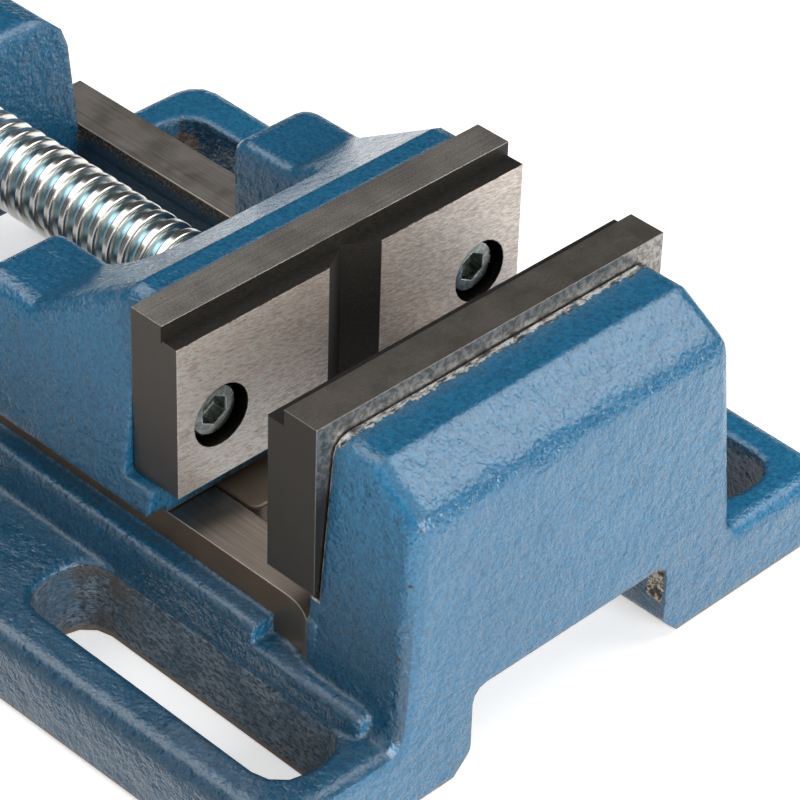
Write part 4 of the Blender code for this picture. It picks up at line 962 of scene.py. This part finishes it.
def rounded_end(along, radius, size, facing, steps=5):
    """Points of a rounded rim at one end of a turned piece."""
    turns = [math.pi / 2 * step / steps for step in range(steps + 1)]
    return [(along - facing * size * (1 - math.cos(turn)), radius - size * (1 - math.sin(turn)))
            for turn in turns]


# %% [markdown]
# The head is a drum with a rounded rear rim and a drilled cross hole for the tommy bar. The
# hole needs a Boolean, which cuts the head's mesh with a thin drum laid across it. The
# modifier is resolved at once and the cutter thrown away.

# %% Lead screw: head
HEAD_RADIUS, HEAD_ROUND, HEAD_CHAMFER, HEAD_CORE = 0.012, 0.002, 0.001, 0.006
HOLE_RADIUS, HOLE_HALF = 0.0053, 0.015
ALONG_X, ALONG_Y = Matrix.Identity(4), Matrix.Rotation(math.pi / 2, 4, "Z")
head = lathe("lead_screw_head", [
    (0, 0), *rounded_end(0, HEAD_RADIUS, HEAD_ROUND, -1, 6),
    (HEAD_LENGTH - HEAD_CHAMFER, HEAD_RADIUS), (HEAD_LENGTH, HEAD_RADIUS - HEAD_CHAMFER),
    (HEAD_LENGTH, ROOT), (HEAD_LENGTH + HEAD_CORE, ROOT)], (low.x, 0, SHAFT_Z), ALONG_X)
hole = lathe("bar_hole_cutter", [(0, 0), (0, HOLE_RADIUS), (2 * HOLE_HALF, HOLE_RADIUS), (2 * HOLE_HALF, 0)],
             (low.x + HEAD_LENGTH / 2, -HOLE_HALF, SHAFT_Z), ALONG_Y)
cut = head.modifiers.new("bar_hole", "BOOLEAN")
cut.operation = "DIFFERENCE"
cut.solver = "EXACT"
cut.object = hole
bpy.context.view_layer.update()
drilled = bpy.data.meshes.new_from_object(head.evaluated_get(bpy.context.evaluated_depsgraph_get()))
head.modifiers.clear()
head.data = drilled
bpy.data.objects.remove(hole)
print("head faces:", len(drilled.polygons))

# %% [markdown]
# The journal turns in the jaw's web. A collar pushes the jaw forward through the thrust
# washer, and two pins in the groove pull it back. With the thread and the head it takes
# the place of the frame's plain screw, and all three ride with the screw's own body.

# %% Lead screw: journal
COLLAR, COLLAR_EASED, JOURNAL, JOURNAL_EASED, GROOVE = 0.008, 0.0002, 0.0065, 0.001, 0.0048
COLLAR_LENGTH, GROOVE_START, GROOVE_END, JOURNAL_LENGTH = 0.0008, 0.0045, 0.0091, 0.0125
journal = lathe("lead_screw_journal", [
    (0, ROOT), (0, COLLAR - COLLAR_EASED), (COLLAR_EASED, COLLAR), (COLLAR_LENGTH - COLLAR_EASED, COLLAR),
    (COLLAR_LENGTH, JOURNAL), (GROOVE_START, JOURNAL), (GROOVE_START, GROOVE), (GROOVE_END, GROOVE),
    (GROOVE_END, JOURNAL), (JOURNAL_LENGTH - JOURNAL_EASED, JOURNAL),
    (JOURNAL_LENGTH, JOURNAL - JOURNAL_EASED), (JOURNAL_LENGTH, 0)],
    (SHOULDER_X - COLLAR_LENGTH, 0, SHAFT_Z), ALONG_X)
for piece in (thread, head, journal):
    dress(piece, "lead_screw_zinc")
    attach(piece, "screw")
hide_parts("lead_screw")
print("journal faces:", len(journal.data.polygons))

# %% [markdown]
# The tommy bar is drawn round stock with eased ends, and each knob is a short neck under a
# ball that is turned flat at the tip. The frame's own bar and knobs have flat facets that
# show in the shine, so lathed ones of the same size take their places.

# %% Tommy bar and knobs
BAR_RADIUS, BAR_EASED = 0.005, 0.001
NECK, NECK_EASED, NECK_LENGTH, BALL, BALL_AT, KNOB_INSET = 0.00625, 0.0004, 0.002, 0.008, 0.006, 0.009
low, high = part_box("tommy_bar")
bar_x, bar_length = (low.x + high.x) / 2, high.y - low.y
bar = lathe("tommy_bar_round", [
    (0, 0), *rounded_end(0, BAR_RADIUS, BAR_EASED, -1),
    *reversed(rounded_end(bar_length, BAR_RADIUS, BAR_EASED, 1)), (bar_length, 0)],
    (bar_x, low.y, SHAFT_Z), ALONG_Y)
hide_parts("tommy_bar")
dress(bar, "bar_steel")
turned_pieces = [bar]
ball = [(BALL_AT + BALL * math.sin(turn), BALL * math.cos(turn))
        for turn in (math.radians(angle) for angle in range(-30, 91, 5))]
for side, label in ((-1, "near"), (1, "far")):
    knob = lathe("tommy_knob_round_" + label, [
        (0, 0), (0, NECK - NECK_EASED), (NECK_EASED, NECK), (NECK_LENGTH, NECK), *ball],
        (bar_x, side * (bar_length / 2 - KNOB_INSET), SHAFT_Z), Matrix.Rotation(side * math.pi / 2, 4, "Z"))
    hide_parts("tommy_knob_" + label)
    dress(knob, "knob_steel")
    turned_pieces.append(knob)
for piece in turned_pieces:
    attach(piece, "bar")
print("turned pieces:", [piece.name for piece in turned_pieces])

# %% [markdown]
# The jaw's guide fills the gap between the ways, and the photograph shows its milled end
# between the two plates. It is a plan with two rounded corners, raised to its height, with
# the upper rim eased. It rides with the jaw and wears the jaw's own finish, whose bare part
# covers this height.

# %% Front of the jaw's guide
GUIDE_REAR, GUIDE_FRONT, GUIDE_SIDE = 0.0488, 0.0608, 0.0268
GUIDE_BOTTOM, GUIDE_TOP, GUIDE_CORNER, GUIDE_EASED = 0.0191, 0.0281, 0.002, 0.0005
NEARLY = 0.0001
plan = [(GUIDE_REAR, -GUIDE_SIDE)]
for side in (-1, 1):
    for angle in range(0, 91, 15):
        turn = math.radians(angle - 90 if side < 0 else angle)
        plan.append((GUIDE_FRONT - GUIDE_CORNER * (1 - math.cos(turn)),
                     side * (GUIDE_SIDE - GUIDE_CORNER) + GUIDE_CORNER * math.sin(turn)))
plan.append((GUIDE_REAR, GUIDE_SIDE))
work = bmesh.new()
foot = work.faces.new([work.verts.new((x, y, GUIDE_BOTTOM)) for x, y in plan])
raised = bmesh.ops.extrude_face_region(work, geom=[foot])["geom"]
top_verts = [item for item in raised if isinstance(item, bmesh.types.BMVert)]
bmesh.ops.translate(work, vec=(0, 0, GUIDE_TOP - GUIDE_BOTTOM), verts=top_verts)
bmesh.ops.recalc_face_normals(work, faces=work.faces)
rims = [edge for edge in work.edges if all(vert.co.z > GUIDE_TOP - NEARLY for vert in edge.verts)
        and any(vert.co.x > GUIDE_REAR + NEARLY for vert in edge.verts)]
bmesh.ops.bevel(work, geom=rims, offset=GUIDE_EASED, segments=2, profile=0.5, affect="EDGES")
guide = mesh_piece("jaw_guide_front", work)
dress(guide, "jaw_enamel")
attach(guide, "jaw")
print("guide faces:", len(guide.data.polygons))
